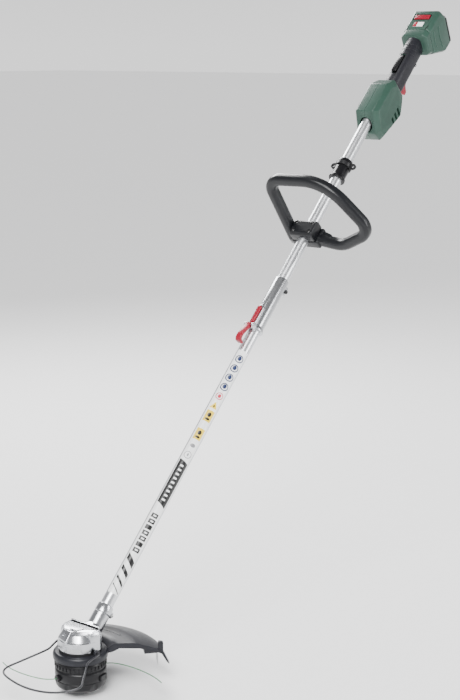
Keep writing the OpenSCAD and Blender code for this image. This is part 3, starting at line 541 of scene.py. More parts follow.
def housing_marks():
    """Comb wall at the back edge of the roof, and painted shade: black pieces in the comb gaps and at the
    bottoms of the openings.
    """
    wall = cuboid("comb_wall", (13, -35.5, ROOF_Z - 1.5), (16.4, 36, ROOF_Z + 3), head, silver)
    done(bevel(wall, 0.6, 2), "lower_shaft", slot="housing_silver")
    # Black blocks in the comb gaps: painted shade.
    teeth = [cuboid("comb_gaps", (12.2, k * 5 - 1.7, ROOF_Z - 0.6), (13.4, k * 5 + 1.7, ROOF_Z + 2.4), head,
                    print_and_shade_black) for k in range(-6, 7)]
    done(join(teeth), "lower_shaft", slot="dark_plastic")
    path = [head(-17.5, 8, ROOF_Z), head(-16.5, -7.5, ROOF_Z), head(-4, -16, ROOF_Z + 0.2),
            head(8, -37, ROOF_Z + 0.2)]
    line = swept("score_line", path, [(-0.7, -0.6), (0.7, -0.6), (0.7, 0.15), (-0.7, 0.15)],
                 lambda i: Vector((0, 0, 1)), print_and_shade_black)
    done(line, "lower_shaft", slot="dark_plastic")
    # Black discs at the bottoms of the screw recess and the roof eye: painted shade.
    done(rod("recess_shade", 4.2, -4.6, -4, pillar_face, print_and_shade_black, 28), "lower_shaft", slot="dark_plastic")
    done(rod("eye_shade", 3, -1.4, 0.15, roof_eye, print_and_shade_black, 24), "lower_shaft", slot="dark_plastic")


motor_housing()
housing_marks()
neck_clamp()
pillar_screw()


# ================================================================ guard
def radial(degrees):
    """Local x runs out along a radius, y up and z round."""
    return lambda x, y, z: turned(degrees, x, z, y)


def guard():
    profile = [(39.9, RIM_Z), (50, RIM_Z), (51.4, RIM_Z + 1.2), (RIM_R - 0.1, RIM_Z + 4), (RIM_R - 0.1, 77.5),
               (51, 80), (49, 82.4), (47.4, RIM_TOP), (39.9, RIM_TOP)]
    done(revolved("guard_rim", profile, head, guard_dark, 128), "lower_shaft", "guard", slot="guard_plastic")
    r = GUARD_R
    roof = [(46, 76), (52, 81.5), (58, 86), (65, 88.9), (72, 89.6), (92, 89.4), (100, 88.9), (107, 87.8),
            (118, 83.5), (130, 80), (142, 75.5), (r - 3, 71.8), (r + 2, 67.6), (r + 12.9, SKIRT_Z + 0.4),
            (r + 12.2, SKIRT_Z), (r + 10.8, SKIRT_Z + 0.2), (r - 1.3, 66), (r - 5, 69), (140, 73),
            (128, 77.2), (116, 80.6), (106, 84.8), (67, 85.5), (48, 71)]
    shell = revolved("guard_roof", roof, head, guard_dark, 72, -GUARD_HALF, 2 * GUARD_HALF, 24)
    bevel(shell, 0.6, 2, 50)
    done(shell, "lower_shaft", slot="guard_plastic")
    wall = [(48, 71), (48, 77), (66, 87.6), (106, 86.6), (118, 82), (142, 74.5), (r - 3, 70.6), (r + 1, 66.8),
            (r + 11.6, SKIRT_Z + 1), (r + 8, SKIRT_Z + 3), (r - 2, 64.6), (144, 68), (112, 77), (74, 79.5),
            (60, 73)]
    for side, letter in ((-1, "L"), (1, "R")):
        place = radial(side * (math.degrees(GUARD_HALF) - 0.75))
        edge = prism("guard_edge" + letter, wall, -1.5, 1.5, place, guard_dark)
        done(bevel(edge, 0.6, 2), "lower_shaft", slot="guard_plastic")
    web = [(49, 74), (60, 81), (106, 81), (118, 77.6), (140, 71), (r - 4, 67.5), (r - 4, 70), (140, 74),
           (117, 81.6), (106, 85.5), (67, 86.4), (48, 76)]
    for k, degrees in enumerate((-22, 0, 22)):
        rib = prism("guard_rib%d" % k, web, -1, 1, radial(degrees), guard_dark)
        done(rib, "lower_shaft", slot="guard_plastic")
    # a low bead that curves over the roof
    bead = revolved("guard_bead", [(83, 89.2), (83.8, 90.2), (85.2, 90.5), (86.6, 90.2), (87.4, 89.2)], head,
                    guard_dark, 48, -math.radians(18), math.radians(56))
    done(bead, "lower_shaft", slot="guard_plastic")
    block = [(r - 8, 68), (r + 1, 68), (r + 1.4, 85.8), (r - 0.5, 87), (r - 6.8, 88.2), (r - 8, 86.8)]
    corner = prism("guard_corner", block, -5, 5, radial(2.4 - math.degrees(GUARD_HALF)), guard_dark)
    done(bevel(corner, 1, 3), "lower_shaft", slot="guard_plastic")


def guard_ears():
    for side, letter in ((-1, "L"), (1, "R")):
        ear = prism("guard_ear" + letter, [(-EAR_HALF, RIM_Z + 5), (EAR_HALF, RIM_Z + 5), (EAR_HALF, EAR_Z)]
                    + arc(0, EAR_Z, EAR_HALF, 0, 180, 14) + [(-EAR_HALF, EAR_Z)], EAR_Y - 3, EAR_Y + 3,
                    lambda x, y, z, s=side: head(EAR_X + x, s * z, y), guard_dark)
        done(bevel(ear, 1, 3, 40), "lower_shaft", slot="guard_plastic")


def cutter():
    place = radial(-CUTTER_TURN)
    block = prism("cutter_block", [(120, 65), (CUTTER_R, 65), (CUTTER_R, 72), (130, 77.6), (120, 80.6)],
                  -9, 13, place, guard_dark)
    done(bevel(block, 1.2, 3), "lower_shaft", slot="guard_plastic")
    blade = prism("cutter_blade", [(-9, 69.9), (14, 69.9), (14, 46.5), (-9, 40.8)], CUTTER_R + 0.02,
                  CUTTER_R + 1.48, lambda x, y, z: place(z, y, x), blade_steel)
    done(bevel(blade, 0.35, 2), "lower_shaft", "line_cutter", slot="steel")
    for k, y0 in enumerate((2.5, 9.5)):
        face = lambda x, y, z, y0=y0: place(CUTTER_R + 1.5 + z, 66.9 + y, y0 + x)
        done(screw("cutter_screw%d" % k, 2.4, 1.5, face, zinc), "lower_shaft", slot="steel")


guard()
guard_ears()
cutter()


# ================================================================ plant guard
WIRE_ROUTE = [
    (0, 44), (0, 50.4), (0, 51.4), (1.8, 53.2), (8, 53.4), (26, 51.5), (34, 53.5), (50, 61), (78, 75.5),
    (98, 86), (108, 88.5), (116, 86), (122, 78), (127, 62), (131, 40), (133, 18), (132, -8), (127, -34),
    (119, -55), (108, -72), (98, -82), (90, -86.5), (83, -85), (74, -79), (52, -65), (34, -53.5),
    (26, -51.5), (8, -53.4), (1.8, -53.2), (0, -51.4), (0, -50.4), (0, -44)]


def plant_guard():
    c, s = math.cos(WIRE_SLOPE), math.sin(WIRE_SLOPE)
    path = curve_through([head(EAR_X - out * c, y, EAR_Z - out * s) for out, y in WIRE_ROUTE], 8)
    normal = Vector((-s, 0, c))
    section = arc(0, 0, WIRE_R - 0.02, 0, 360 - 22.5, 15)
    wire = swept("bail_wire", path, section, lambda i: normal, wire_paint)
    done(wire, "plant_guard", "plant_guard", slot="dark_plastic")


plant_guard()


# ================================================================ spool
def spool():
    r, waist = SPOOL_R, 50
    wall = [(14, SEAM_Z + 0.5), (r - 0.4, SEAM_Z + 0.3), (r, SEAM_Z + 0.9), (r + 0.3, 38),
            (r + 0.2, waist - 3), (r - 0.5, waist - 1.6), (r - 2.4, waist), (r - 2.6, waist + 1),
            (r - 2.4, waist + 2), (r - 0.8, waist + 3.4), (r - 0.8, SPOOL_TOP - 5),
            (r - 1.4, SPOOL_TOP - 3.6), (r - 3, SPOOL_TOP), (14, SPOOL_TOP)]
    parts = [revolved("drum", wall, head, black, 144)]
    for k in range(36):
        rib = cuboid("rib", (r - 3, -1.5, waist + 4.2), (r + 0.95, 1.5, SPOOL_TOP - 5),
                     lambda x, y, z, k=k: turned(10 * k, x, y, z), black)
        parts.append(bevel(rib, 0.5, 2))
    drum = join(parts)
    shade(drum)
    tools = [cuboid("window", (r - 3, -8.6, SEAM_Z + 1), (r + 4, 8.6, 41), lambda x, y, z, d=d:
                    turned(d, x, y, z), black) for d in (280, 100)]
    tools += [rod("mouth", 6.6, r - 2.6, r + 6, lambda x, y, z, d=d: turned(d, z, x, OUTLET_Z + y), black)
              for d in (168, 348)]
    for tool in tools:
        carve(drum, [tool], 35, "EXACT")
    done(drum, "spool", "spool_drum", slot="black_plastic")
    cover = [(KNOB_R + 0.4, 7), (27, 7), (28.4, 7.2), (38, 10), (42, 12.4), (45.4, 15.4), (47.4, 18.6),
             (48.1, 21), (r, SEAM_Z - 0.9), (r - 0.5, SEAM_Z - 0.3), (30, SEAM_Z - 0.3), (KNOB_R + 0.4, 20)]
    lid = revolved("spool_lid", cover, head, black, 144)
    for k in range(6):
        tool = rod("scallop", 7, -4, 40, lambda x, y, z, k=k: turned(
            60 * k + 15, 44.6 + y * 0.6 + z * 0.35, x * 1.5, 6 + z), black, 24)
        carve(lid, [tool], 35, "EXACT")
    done(lid, "spool", "spool_cover", slot="black_plastic")
    for i, d in enumerate((280, 100)):
        tab = cuboid("latch%d" % i, (r - 3, -8, SEAM_Z + 1.4), (r - 0.7, 8, 40.4), lambda x, y, z, d=d:
                     turned(d, x, y, z), black)
        lip = cuboid("latch_lip", (r - 1.4, -6, 33), (r + 0.5, 6, 36), lambda x, y, z, d=d:
                     turned(d, x, y, z), black)
        done(bevel(join([tab, lip]), 0.5, 2), "spool", slot="black_plastic")


def bump_knob():
    outer = [(0, 0), (13.4, 0), (15, 0.4), (19, 1.9), (20, 3.4), (20.6, 6), (20.8, 9.4), (KNOB_R + 2.4, 9.8),
             (KNOB_R + 2.4, 11.8), (8, 11.8), (7.9, 23.6), (7.2, 24), (0, 24)]
    parts = [revolved("tap_knob", outer, head, satin_black, 96)]
    for k in range(12):
        parts.append(prism("fin", [(8, 0.2), (14, 0.2), (19.6, 2), (20.7, 4), (20.9, 9), (8, 9)], -1.1, 1.1,
                           lambda x, y, z, k=k: turned(30 * k, x, z, y), satin_black))
    knob = join(parts)
    shade(knob)
    for k in range(12):
        carve(knob, [rod("flute", 2.6, -1, 8, lambda x, y, z, k=k: turned(30 * k + 15, 21.4 + x, y, z),
                         satin_black, 20)], 35, "EXACT")
    done(knob, "bump_knob", "bump_knob", slot="dark_plastic")


def knob_spring():
    """The coil that the knob presses; the real one shortens as the knob goes in, here it keeps one length."""
    low, high, r, turns, steps, wire = 13, 46.4, 10, 6, 20, 0.7
    path = [head(r * math.cos(math.tau * k / steps), r * math.sin(math.tau * k / steps),
                 low + (high - low) * k / (steps * turns)) for k in range(steps * turns + 1)]
    coil = swept("knob_coil", path, arc(0, 0, wire, 0, 324, 9), lambda i: Vector((0, 0, 1)), zinc, 50)
    done(coil, "spool", "knob_spring", slot="steel")
    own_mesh(coil)


def eyelets():
    r = SPOOL_R - 4.5
    for name, deg in (("a", 168), ("b", 348)):
        place = lambda x, y, z, d=deg: turned(d, r + z, x, OUTLET_Z + y)
        profile = [(1.6, 0), (4.95, 0), (4.95, 4.4), (6.2, 4.9), (5.9, 5.8), (5.2, 6.5), (4.2, 6.9),
                   (3, 6.9), (2.2, 6.2), (1.6, 5)]
        ring = revolved("eyelet_" + name, profile, place, zinc, 48)
        done(ring, "spool", slot="steel")
    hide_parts("line_eyelets")


spool()
bump_knob()
knob_spring()
eyelets()


# ================================================================ shaft
def tube(name, start, stop, body, node):
    r = TUBE_R - 0.01
    profile = [(TUBE_IN, 0), (r - 0.3, 0), (r, 0.3), (r, stop - start - 0.3), (r - 0.3, stop - start),
               (TUBE_IN, stop - start)]
    done(revolved(name, profile, tube_at(start), bright, 96), body, node, slot="tube_metal")


tube("tube_lower", 62, 830, "lower_shaft", "lower_tube")
tube("tube_upper", 836, 1380, "handle_unit", "upper_tube")

# Printed marks on the lower tube: plain shapes, in millimetres round the tube and along it.
MARK_TURN = 41.5
MARK_T = 0.13


def on_skin(round_mm, s, lift):
    a = math.radians(MARK_TURN) + round_mm / TUBE_R
    r = TUBE_R + lift
    return shaft(s, r * math.cos(a), -r * math.sin(a))


def band(name, material, left, right, low, high, lift=0.0):
    """A mark from left to right round the tube; low and high give its ends along the tube."""
    steps = 12
    verts, faces = [], []
    for i in range(steps + 1):
        w = left + (right - left) * i / steps
        verts += [on_skin(w, low(w), -0.05), on_skin(w, high(w), -0.05), on_skin(w, high(w), MARK_T + lift),
                  on_skin(w, low(w), MARK_T + lift)]
    for i in range(steps):
        faces += [(4 * i + k, 4 * i + (k + 1) % 4, 4 * i + 4 + (k + 1) % 4, 4 * i + 4 + k) for k in range(4)]
    faces += [(0, 1, 2, 3), tuple(4 * steps + k for k in range(4))]
    done(build(name, verts, faces, material), "lower_shaft", slot="tube_metal")


def disc(name, material, s0, outer, inner=0.0, narrow=1.0, lift=0.0):
    """A round or ring mark centred at s0."""
    turns, rings = 36, 5
    verts, faces = [], []
    for low in (-0.05, MARK_T + lift):
        for k in range(rings):
            rad = max(inner + (outer - inner) * k / (rings - 1), 0.01)
            verts += [on_skin(rad * narrow * math.cos(math.tau * j / turns),
                              s0 + rad * math.sin(math.tau * j / turns), low) for j in range(turns)]
    layer = turns * rings
    for j in range(turns):
        n = (j + 1) % turns
        for k in range(rings - 1):
            a, b = k * turns, (k + 1) * turns
            faces += [(a + j, a + n, b + n, b + j),
                      (layer + a + j, layer + b + j, layer + b + n, layer + a + n)]
        for k in (0, rings - 1):
            faces.append((k * turns + j, k * turns + n, layer + k * turns + n, layer + k * turns + j))
    done(build(name, verts, faces, material), "lower_shaft", slot="tube_metal")


def flat(value):
    return lambda w: value


def marks():
    slant = lambda s0: lambda w: s0 - 0.8 * w
    band("mark_ground", white_badge, -12.5, 12.5, flat(126), flat(700), -0.06)
    for k, (middle, thick) in enumerate(((137, 2.6), (154, 6), (175, 9.5), (199, 13))):
        band("mark_bar%d" % k, print_and_shade_black, -10, 10, slant(middle - thick / 2), slant(middle + thick / 2))
    for k in range(7):
        middle = 222 + 13 * k
        band("mark_block%d" % k, print_and_shade_black, -7, 7, flat(middle - 4.8), flat(middle + 4.8))
        if k % 3 != 1:
            band("mark_slot%d" % k, white_badge, -2.6, 3.4, flat(middle - 1.5), flat(middle + 1.5), 0.05)
    band("mark_field", print_and_shade_black, -10.5, 10.5, lambda w: 326 - 0.45 * w, lambda w: 428 - 0.3 * w)
    for k in range(9):
        middle = 337 + 10 * k
        band("mark_tick%d" % k, white_badge, -3.4, 3.4, flat(middle - 1.9), flat(middle + 1.9), 0.05)
    disc("mark_ring", ink_grey, 443, 8, 6.6)
    disc("mark_ring_core", ink_grey, 443, 3.4, 0, 0.5)
    disc("mark_dot", ink_grey, 465, 4.2, 0, 1.3)
    for k, middle in enumerate((493, 537)):
        band("mark_panel%d" % k, ink_yellow, -8.5, 8.5, flat(middle - 13), flat(middle + 13))
        disc("mark_panel_core%d" % k, print_and_shade_black, middle + 3, 5, 0, 0.8, 0.04)
        disc("mark_panel_foot%d" % k, print_and_shade_black, middle - 7, 2.6, 0, 2, 0.04)
    band("mark_triangle", ink_yellow, -8, 8, flat(556), lambda w: 556.2 + 15 * (1 - abs(w) / 8))
    disc("mark_triangle_core", print_and_shade_black, 561, 2.6, 0, 0.6, 0.04)
    disc("mark_stop", ink_red, 586, 8, 6.4)
    disc("mark_stop_core", ink_red, 586, 4.4, 0, 0.8)
    for k in range(4):
        disc("mark_blue%d" % k, ink_blue, 609 + 23.4 * k, 9, 6.6)
        disc("mark_blue_core%d" % k, ink_blue, 610 + 23.4 * k, 5.2, 0, 0.85)


marks()


# ================================================================ coupling
def coupling():
    sleeve = [(TUBE_R + 0.05, 0), (17.6, 0), (18.2, 0.6), (18.2, 3), (17.4, 4.6), (15.9, 8.4), (15.6, 10),
              (15.6, 133), (15.1, 134.4), (13.6, 136), (TUBE_R + 0.05, 136)]
    skin = revolved("sleeve", sleeve, tube_at(COUPLING_S), sleeve_metal, 96)
    carve(skin, [prism("pocket", stadium(45.4, 11, 14), 4, 24, above(BUTTON_S, 0), print_and_shade_black)], 35)
    done(skin, "handle_unit", "coupling_sleeve", slot="tube_metal")
    boss = prism("button_bezel", stadium(53, 17.6, 14), 13, 20, above(BUTTON_S, 0), sleeve_metal)
    bevel(boss, 1.4, 3, 40)
    carve(boss, [prism("pocket", stadium(45.4, 11, 14), 4, 24, above(BUTTON_S, 0), print_and_shade_black)], 35)
    done(boss, "handle_unit", slot="tube_metal")
    outline = [(-7, 12), (8, 12), (8, 22), (5, 26)] + arc(-1, 25, 4.8, 20, 190, 8) + [(-7, 22)]
    for letter, low, high in (("L", -10.8, -7.2), ("R", 7.2, 10.8)):
        ear = prism("lever_ear" + letter, outline, low, high, across(COUPLING_S, 0), sleeve_metal)
        done(bevel(ear, 0.7, 2), "handle_unit", slot="tube_metal")
    lugs = [cuboid("clamp_lug", (864, -23.4, low), (888, -11, high), across(0, 0), sleeve_metal)
            for low, high in ((-8, -0.8), (0.8, 8))]
    done(bevel(join(lugs), 2.2, 4), "handle_unit", slot="tube_metal")
    done(screw("clamp_screw", 4.4, 4.6, lambda x, y, z: shaft(876 + x, -19.1 + y, -8 - z), print_and_shade_black, "hex"),
         "handle_unit", "coupling_screw", slot="steel")
    done(rod("clamp_screw_end", 2.3, 6, 11.6, lambda x, y, z: shaft(876 + x, -19.1 + y, z), zinc),
         "handle_unit", slot="steel")


def coupling_button():
    key = prism("lock_button", stadium(43.8, 9.4, 14), 17.4, 24, above(BUTTON_S, 0), red)
    bevel(key, 1.1, 3, 40)
    parts = [key]
    for k in range(-5, 6):
        rib = cuboid("rib", (3.4 * k - 0.8, -3.6, 23), (3.4 * k + 0.8, 3.6, 24.5), above(BUTTON_S, 0), red)
        parts.append(bevel(rib, 0.35, 2))
    done(join(parts), "coupling_button", "coupling_button", slot="red_plastic")


def coupling_lever():
    px, pn = 756, 25
    hook = [(-5, 6), (-12, 8.6), (-20, 11), (-28, 13), (-35, 13.6), (-41, 13), (-45, 10.6), (-47, 8),
            (-46.6, 2), (-46, -4), (-44, -4.8), (-42, -4), (-41.2, 0.6), (-40, 5), (-37, 6.2), (-30, 6.5),
            (-18, 2.6), (-6, -1.5), (0, -3), (4, -1.5), (5, 2), (3.5, 4.6), (0, 5)]
    lever = prism("lock_lever", hook, -6, 6, across(px, pn), red)
    bevel(lever, 1, 3, 40)
    eye = bevel(rod("lever_eye", 5, -6, 6, across(px, pn), red, 40), 0.7, 2, 50)
    done(join([lever, eye]), "coupling_lever", "coupling_lever", slot="red_plastic")
    axle = bevel(rod("lever_axle", 2, -11.5, 11.5, across(px, pn), zinc), 0.4, 2, 50)
    done(axle, "handle_unit", "lever_pin", slot="steel")


coupling()
coupling_button()
coupling_lever()


# ================================================================ loop handle
LOOP_PATH = [(37, -10, 0), (56, 139, 30), (-93, 141, 105), (-172, 22, 30), (-88, -22, 55), (-26, -12, 0)]


def rounded(path, step=5):
    """Straight runs with round corners: path holds (across, up, corner radius)."""
    points = [Vector(path[0][:2])]
    for before, here, after in zip(path, path[1:], path[2:]):
        a = (Vector(here[:2]) - Vector(before[:2])).normalized()
        b = (Vector(after[:2]) - Vector(here[:2])).normalized()
        turn = math.atan2(a.x * b.y - a.y * b.x, a.dot(b))
        side = Vector((-a.y, a.x)) * math.copysign(1, turn)
        r = here[2]
        centre = Vector(here[:2]) - a * r * math.tan(abs(turn) / 2) + side * r
        n = math.ceil(math.degrees(abs(turn)) / step)
        points += [centre + r * (math.sin(abs(turn) * k / n) * a - math.cos(turn * k / n) * side)
                   for k in range(n + 1)]
    return points + [Vector(path[-1][:2])]


def loop_handle():
    path = [loop(0, p.y, p.x) for p in rounded(LOOP_PATH)]
    lift = (loop(1, 0, 0) - loop(0, 0, 0)).normalized()
    thick = LOOP_BAR - 0.4
    bar = swept("loop_bar", path, round_box(thick, thick, 9.3, 6), lambda i: lift, bar_dark, 50)
    done(bar, "loop_handle", "loop_handle", slot="dark_plastic")
    base = cuboid("loop_clamp", (-20, -36, -23), (20, 33, -0.6), above(LOOP_S, 0), bar_dark)
    bevel(base, 4, 5)
    carve(base, [rod("bore", TUBE_R + 0.1, -60, 60, tube_at(LOOP_S), bar_dark, 64)])
    done(base, "loop_handle", slot="dark_plastic")
    # cheeks that lead the bar into the clamp
    for letter, near, far in (("L", -28, -58), ("R", 24, 46)):
        points = [shaft(LOOP_S + s, n, near) for s in (-17, 17) for n in (-22, -2)]
        points += [shaft(LOOP_S + s - 2, n, far) for s in (-11, 11) for n in (-21, -5)]
        cheek = wrapped("loop_cheek" + letter, points, bar_dark)
        done(bevel(cheek, 3, 4), "loop_handle", slot="dark_plastic")
    outline = [(-20, 0.6), (20, 0.6), (20, 20), (14.5, 25.9), (-14.5, 25.9), (-20, 20)]
    cap = prism("loop_cap", outline, -30, 27, across(LOOP_S, 0), bar_dark)
    bevel(cap, 2.2, 4)
    carve(cap, [rod("bore", TUBE_R + 0.1, -60, 60, tube_at(LOOP_S), bar_dark, 64)])
    holes = [(s, y) for s in (-11, 11) for y in (19.5, -21.5)]
    for s, y in holes:
        carve(cap, [rod("counterbore", 4.3, 18, 40, above(LOOP_S + s, 0, y), bar_dark, 32)])
    done(cap, "loop_handle", "handle_cap", slot="dark_plastic")
    for k, (s, y) in enumerate(holes):
        done(screw("loop_screw%d" % k, 3.9, 3.4, above(LOOP_S + s, 19, y), zinc, "hex"), "loop_handle",
             slot="steel")


loop_handle()


# ================================================================ strap collar
def strap_collar():
    profile = [(TUBE_R + 0.15, 0), (18, 0), (18.8, 0.8), (19, 4), (18.4, 5.4), (16, 8), (15.8, 9), (16.4, 33),
               (16.2, 33.7), (15.2, 33.8), (15.2, 44), (18.4, 44), (18.3, 46), (17.4, 51.4), (17, 52),
               (TUBE_R + 0.15, 52)]
    collar = revolved("collar", profile, tube_at(COLLAR_S), satin_black, 96)
    carve(collar, [cuboid("slit", (-30, -0.8, -2), (-8, 0.8, 70), tube_at(COLLAR_S), satin_black)])
    done(collar, "strap_collar", "strap_collar", slot="dark_plastic")
    at = tube_at(COLLAR_S + 34)
    band = [(15.4, 0), (18.2, 0), (18.9, 0.7), (19, 8.9), (18.3, 9.6), (15.4, 9.6)]
    parts = [revolved("hanger_ring", band, at, black, 96)]
    eyelet = [(4.05, -2.4), (4.6, -3), (6.6, -3), (7.3, -2.2), (7.3, 2.2), (6.6, 3), (4.6, 3), (4.05, 2.4)]
    for side in (-1, 1):
        place = lambda x, y, z, s=side: at(z, s * 25 + x, 4.8 + y)
        parts.append(revolved("hanger_eye", eyelet, place, black, 48))
        y0, y1 = sorted((side * 17, side * 20.6))
        neck = cuboid("hanger_neck", (-2.8, y0, 1.6), (2.8, y1, 8), at, black)
        parts.append(bevel(neck, 0.8, 2))
    done(join(parts), "strap_collar", "strap_hanger", slot="dark_plastic")


strap_collar()


# ================================================================ rear housing
BLOCK = [(1330, -42), (1327, -18), (1350, 6), (1353, 29), (1436, 29), (1464, 12), (1464, -32), (1446, -46),
         (1420, -63)]
BELLY = [(1341, -36), (1339, -17), (1359, 2), (1363, 19), (1432, 19), (1452, 8), (1452, -28), (1438, -40),
         (1417, -53)]
FOOT = [(0, 0), (FOOT_T, 6.2), (FOOT_T, -57.5), (0, -51)]
FOOT_SIDE = [(3, -8), (FOOT_T, -2), (FOOT_T, -50), (3, -45)]


def both(place, outline, half):
    return [place(a, b, side * half) for side in (-1, 1) for a, b in outline]


def slot_tool(box, half, material):
    """Cutter from (s, n) to (s, n), half its width each side."""
    s0, n0, s1, n1 = box
    return prism("slot_tool", [(s0, n0), (s1, n0), (s1, n1), (s0, n1)], -half, half, across(0, 0), material)


def rear_block():
    block = wrapped("rear_block", both(shaft, BLOCK, 22) + both(shaft, BELLY, 32), green)
    bevel(block, 1.8, 3, 20)
    carve(block, [rod("tube_mouth", 16, -20, 8, tube_at(1342), painted_shade_green, 48)], 30)
    carve(block, [rod("tube_bore", TUBE_R + 0.02, -40, 42, tube_at(1342), painted_shade_green, 48)], 30)
    for side in (-1, 1):
        for k in range(3):
            slot = wrapped("vent", [shaft(1380 + 15 * k + a, n, side * y) for a, n in
                                    ((0, -50), (7.5, -50), (12, -31), (4.5, -31)) for y in (24, 40)], green)
            carve(block, [slot], 30)
    seam = cuboid("seam", (1300, -80, -0.35), (1480, 40, 0.35), across(0, 0), green)
    inside = [(1332, -40), (1329.4, -18.4), (1352, 5), (1355, 27), (1435, 27), (1461.6, 11), (1461.6, -31),
              (1444.6, -44.4), (1419.6, -60.4)]
    carve(seam, [wrapped("inner", both(shaft, inside, 10), green)])
    carve(block, [seam], 30)
    carve(block, [slot_tool((1462, -80, 1490, -28), 7.5, green)], 30)
    done(block, "handle_unit", "rear_housing_left", "rear_housing_right", slot="green_plastic")
    # dark gills set into the vents
    # dark green sheets set behind the vents: painted shade in the openings
    for letter, low, high in (("L", -25, -20), ("R", 20, 25)):
        shade_sheet = prism("vent_shade" + letter, [(1378, -52), (1420, -52), (1428, -30), (1384, -30)],
                       low, high, across(0, 0), painted_shade_green)
        done(shade_sheet, "handle_unit", slot="green_plastic")


def boss_screws():
    for k, (s, n, y) in enumerate(((1374, 22, -25), (1426, 22, -25), (1342, -31, -27), (1412, -50, -27),
                                   (1556, -34, -16.6), (1588, -10, -16.6))):
        place = lambda x, yy, z, s=s, n=n, y=y: shaft(s + x, n + yy, y - z)
        ring = revolved("boss_rim%d" % k, [(2.9, 1), (3.1, 0.2), (3.9, 0.2), (4.3, -1), (2.9, -1)], place,
                        green if s < 1470 else rubber, 32)
        done(ring, "handle_unit", slot="green_plastic")


def grip():
    mid, start, stop = GRIP_MID, GRIP_START, GRIP_STOP
    along = lambda s0: (lambda x, y, z: shaft(s0 + z, mid + x, y))
    core = prism("grip_core", stadium(GRIP_H, GRIP_W, 16), 0, stop - start, along(start), green)
    tools = [slot_tool(box, half, green) for box, half in (
        ((1462, -80, 1520, -26), 7.5), ((1495, -8, 1553, 20), 6.5))]
    for tool in tools:
        carve(core, [tool], 30)
    done(core, "handle_unit", slot="green_plastic")
    skin = prism("grip_skin", stadium(GRIP_H + 2.2, GRIP_W + 2.6, 20), 0, SKIN_STOP - SKIN_START,
                 along(SKIN_START), rubber)
    bevel(skin, 1.2, 3, 50)
    cuts = [slot_tool(box, half, rubber) for box, half in (
        ((1440, -80, 1522, -26), 8), ((1440, -80, 1640, -41.2), 7.6), ((1494, -8, 1554, 20), 7))]
    for tool in cuts:
        carve(skin, [tool], 40)
    done(skin, "handle_unit", "grip_panels", slot="grip_rubber")
    # raised bands across the back of the grip
    for k, s in enumerate((1562, 1576, 1590)):
        section = arc(0, 0, 0.9, 0, 330, 11)
        bow = [shaft(s - 7 * (1 - abs(math.cos(math.radians(a)))), mid + 6 + 18.2 * math.sin(math.radians(a)),
                     18.2 * math.cos(math.radians(a))) for a in range(-10, 191, 10)]
        ridge = swept("grip_ridge%d" % k, bow, section, lambda i: Vector((Q, 0, Q)), rubber)
        done(ridge, "handle_unit", slot="grip_rubber")
    collar = prism("grip_collar", stadium(GRIP_H + 5, GRIP_W + 5.6, 20), 0, 5, along(1461.5), rubber)
    bevel(collar, 1.4, 3, 50)
    carve(collar, [slot_tool((1440, -80, 1522, -30), 8, rubber)], 40)
    done(collar, "handle_unit", slot="grip_rubber")
    strip = prism("grip_spine", [(1524, -42.4), (1606, -42.4), (1609, -40), (1522, -40)], -6.6, 6.6,
                  across(0, 0), green)
    done(bevel(strip, 0.8, 2), "handle_unit", slot="green_plastic")


def foot():
    ob = wrapped("battery_foot", both(pack, FOOT, 25) + both(pack, FOOT_SIDE, 35), green)
    bevel(ob, 1.6, 3, 20)
    carve(ob, [cuboid("rail_window", (FOOT_T - 4, -36, -15), (FOOT_T + 6, -6, 15), pack, painted_shade_green)], 30)
    done(ob, "handle_unit", slot="green_plastic")


def controls():
    finger = [(1465.5, -32), (1474, -31.5), (1516, -34), (1516.6, -40), (1515, -45), (1510, -48), (1506, -50),
              (1503, -54), (1500, -60), (1497.4, -62.8), (1493, -64), (1489.4, -63.4), (1487, -61.6),
              (1484, -56), (1481, -50.6), (1477, -46.6), (1472, -43.4), (1465.5, -41)]
    lever = bevel(prism("trigger_lever", finger, -6.4, 6.4, across(0, 0), red), 1.2, 3, 40)
    done(lever, "trigger", "trigger", slot="red_plastic")
    thumb = [(1499, 3.4), (1498, 6.4), (1499.4, 8.6), (1503, 9.4), (1510, 9.4), (1522, 9), (1536, 7.5),
             (1545, 5.4), (1552, 3), (1552, -6), (1545, -7), (1540, 0), (1512, 1)]
    lever = prism("thumb_lever", thumb, -5.4, 5.4, across(0, 0), satin_black)
    done(bevel(lever, 0.9, 3, 40), "lock_off_lever", "lock_off_lever", slot="black_plastic")


rear_block()
boss_screws()
grip()
foot()
controls()


# ================================================================ battery
PACK_Z, BASE_Z = FOOT_T + 0.4, 97
PACK = [(PACK_Z, 6.4), (73.5, 26), (90, 19), (BASE_Z, 2), (BASE_Z, -66), (69, -75), (PACK_Z, -57.6)]
PACK_SIDE = [(PACK_Z, -2), (71, 17), (86, 12), (BASE_Z - 3, -2), (BASE_Z - 3, -62), (68, -70), (PACK_Z, -53)]
RELEASE_S, RELEASE_N, BADGE_S = 1671, 6, 1647


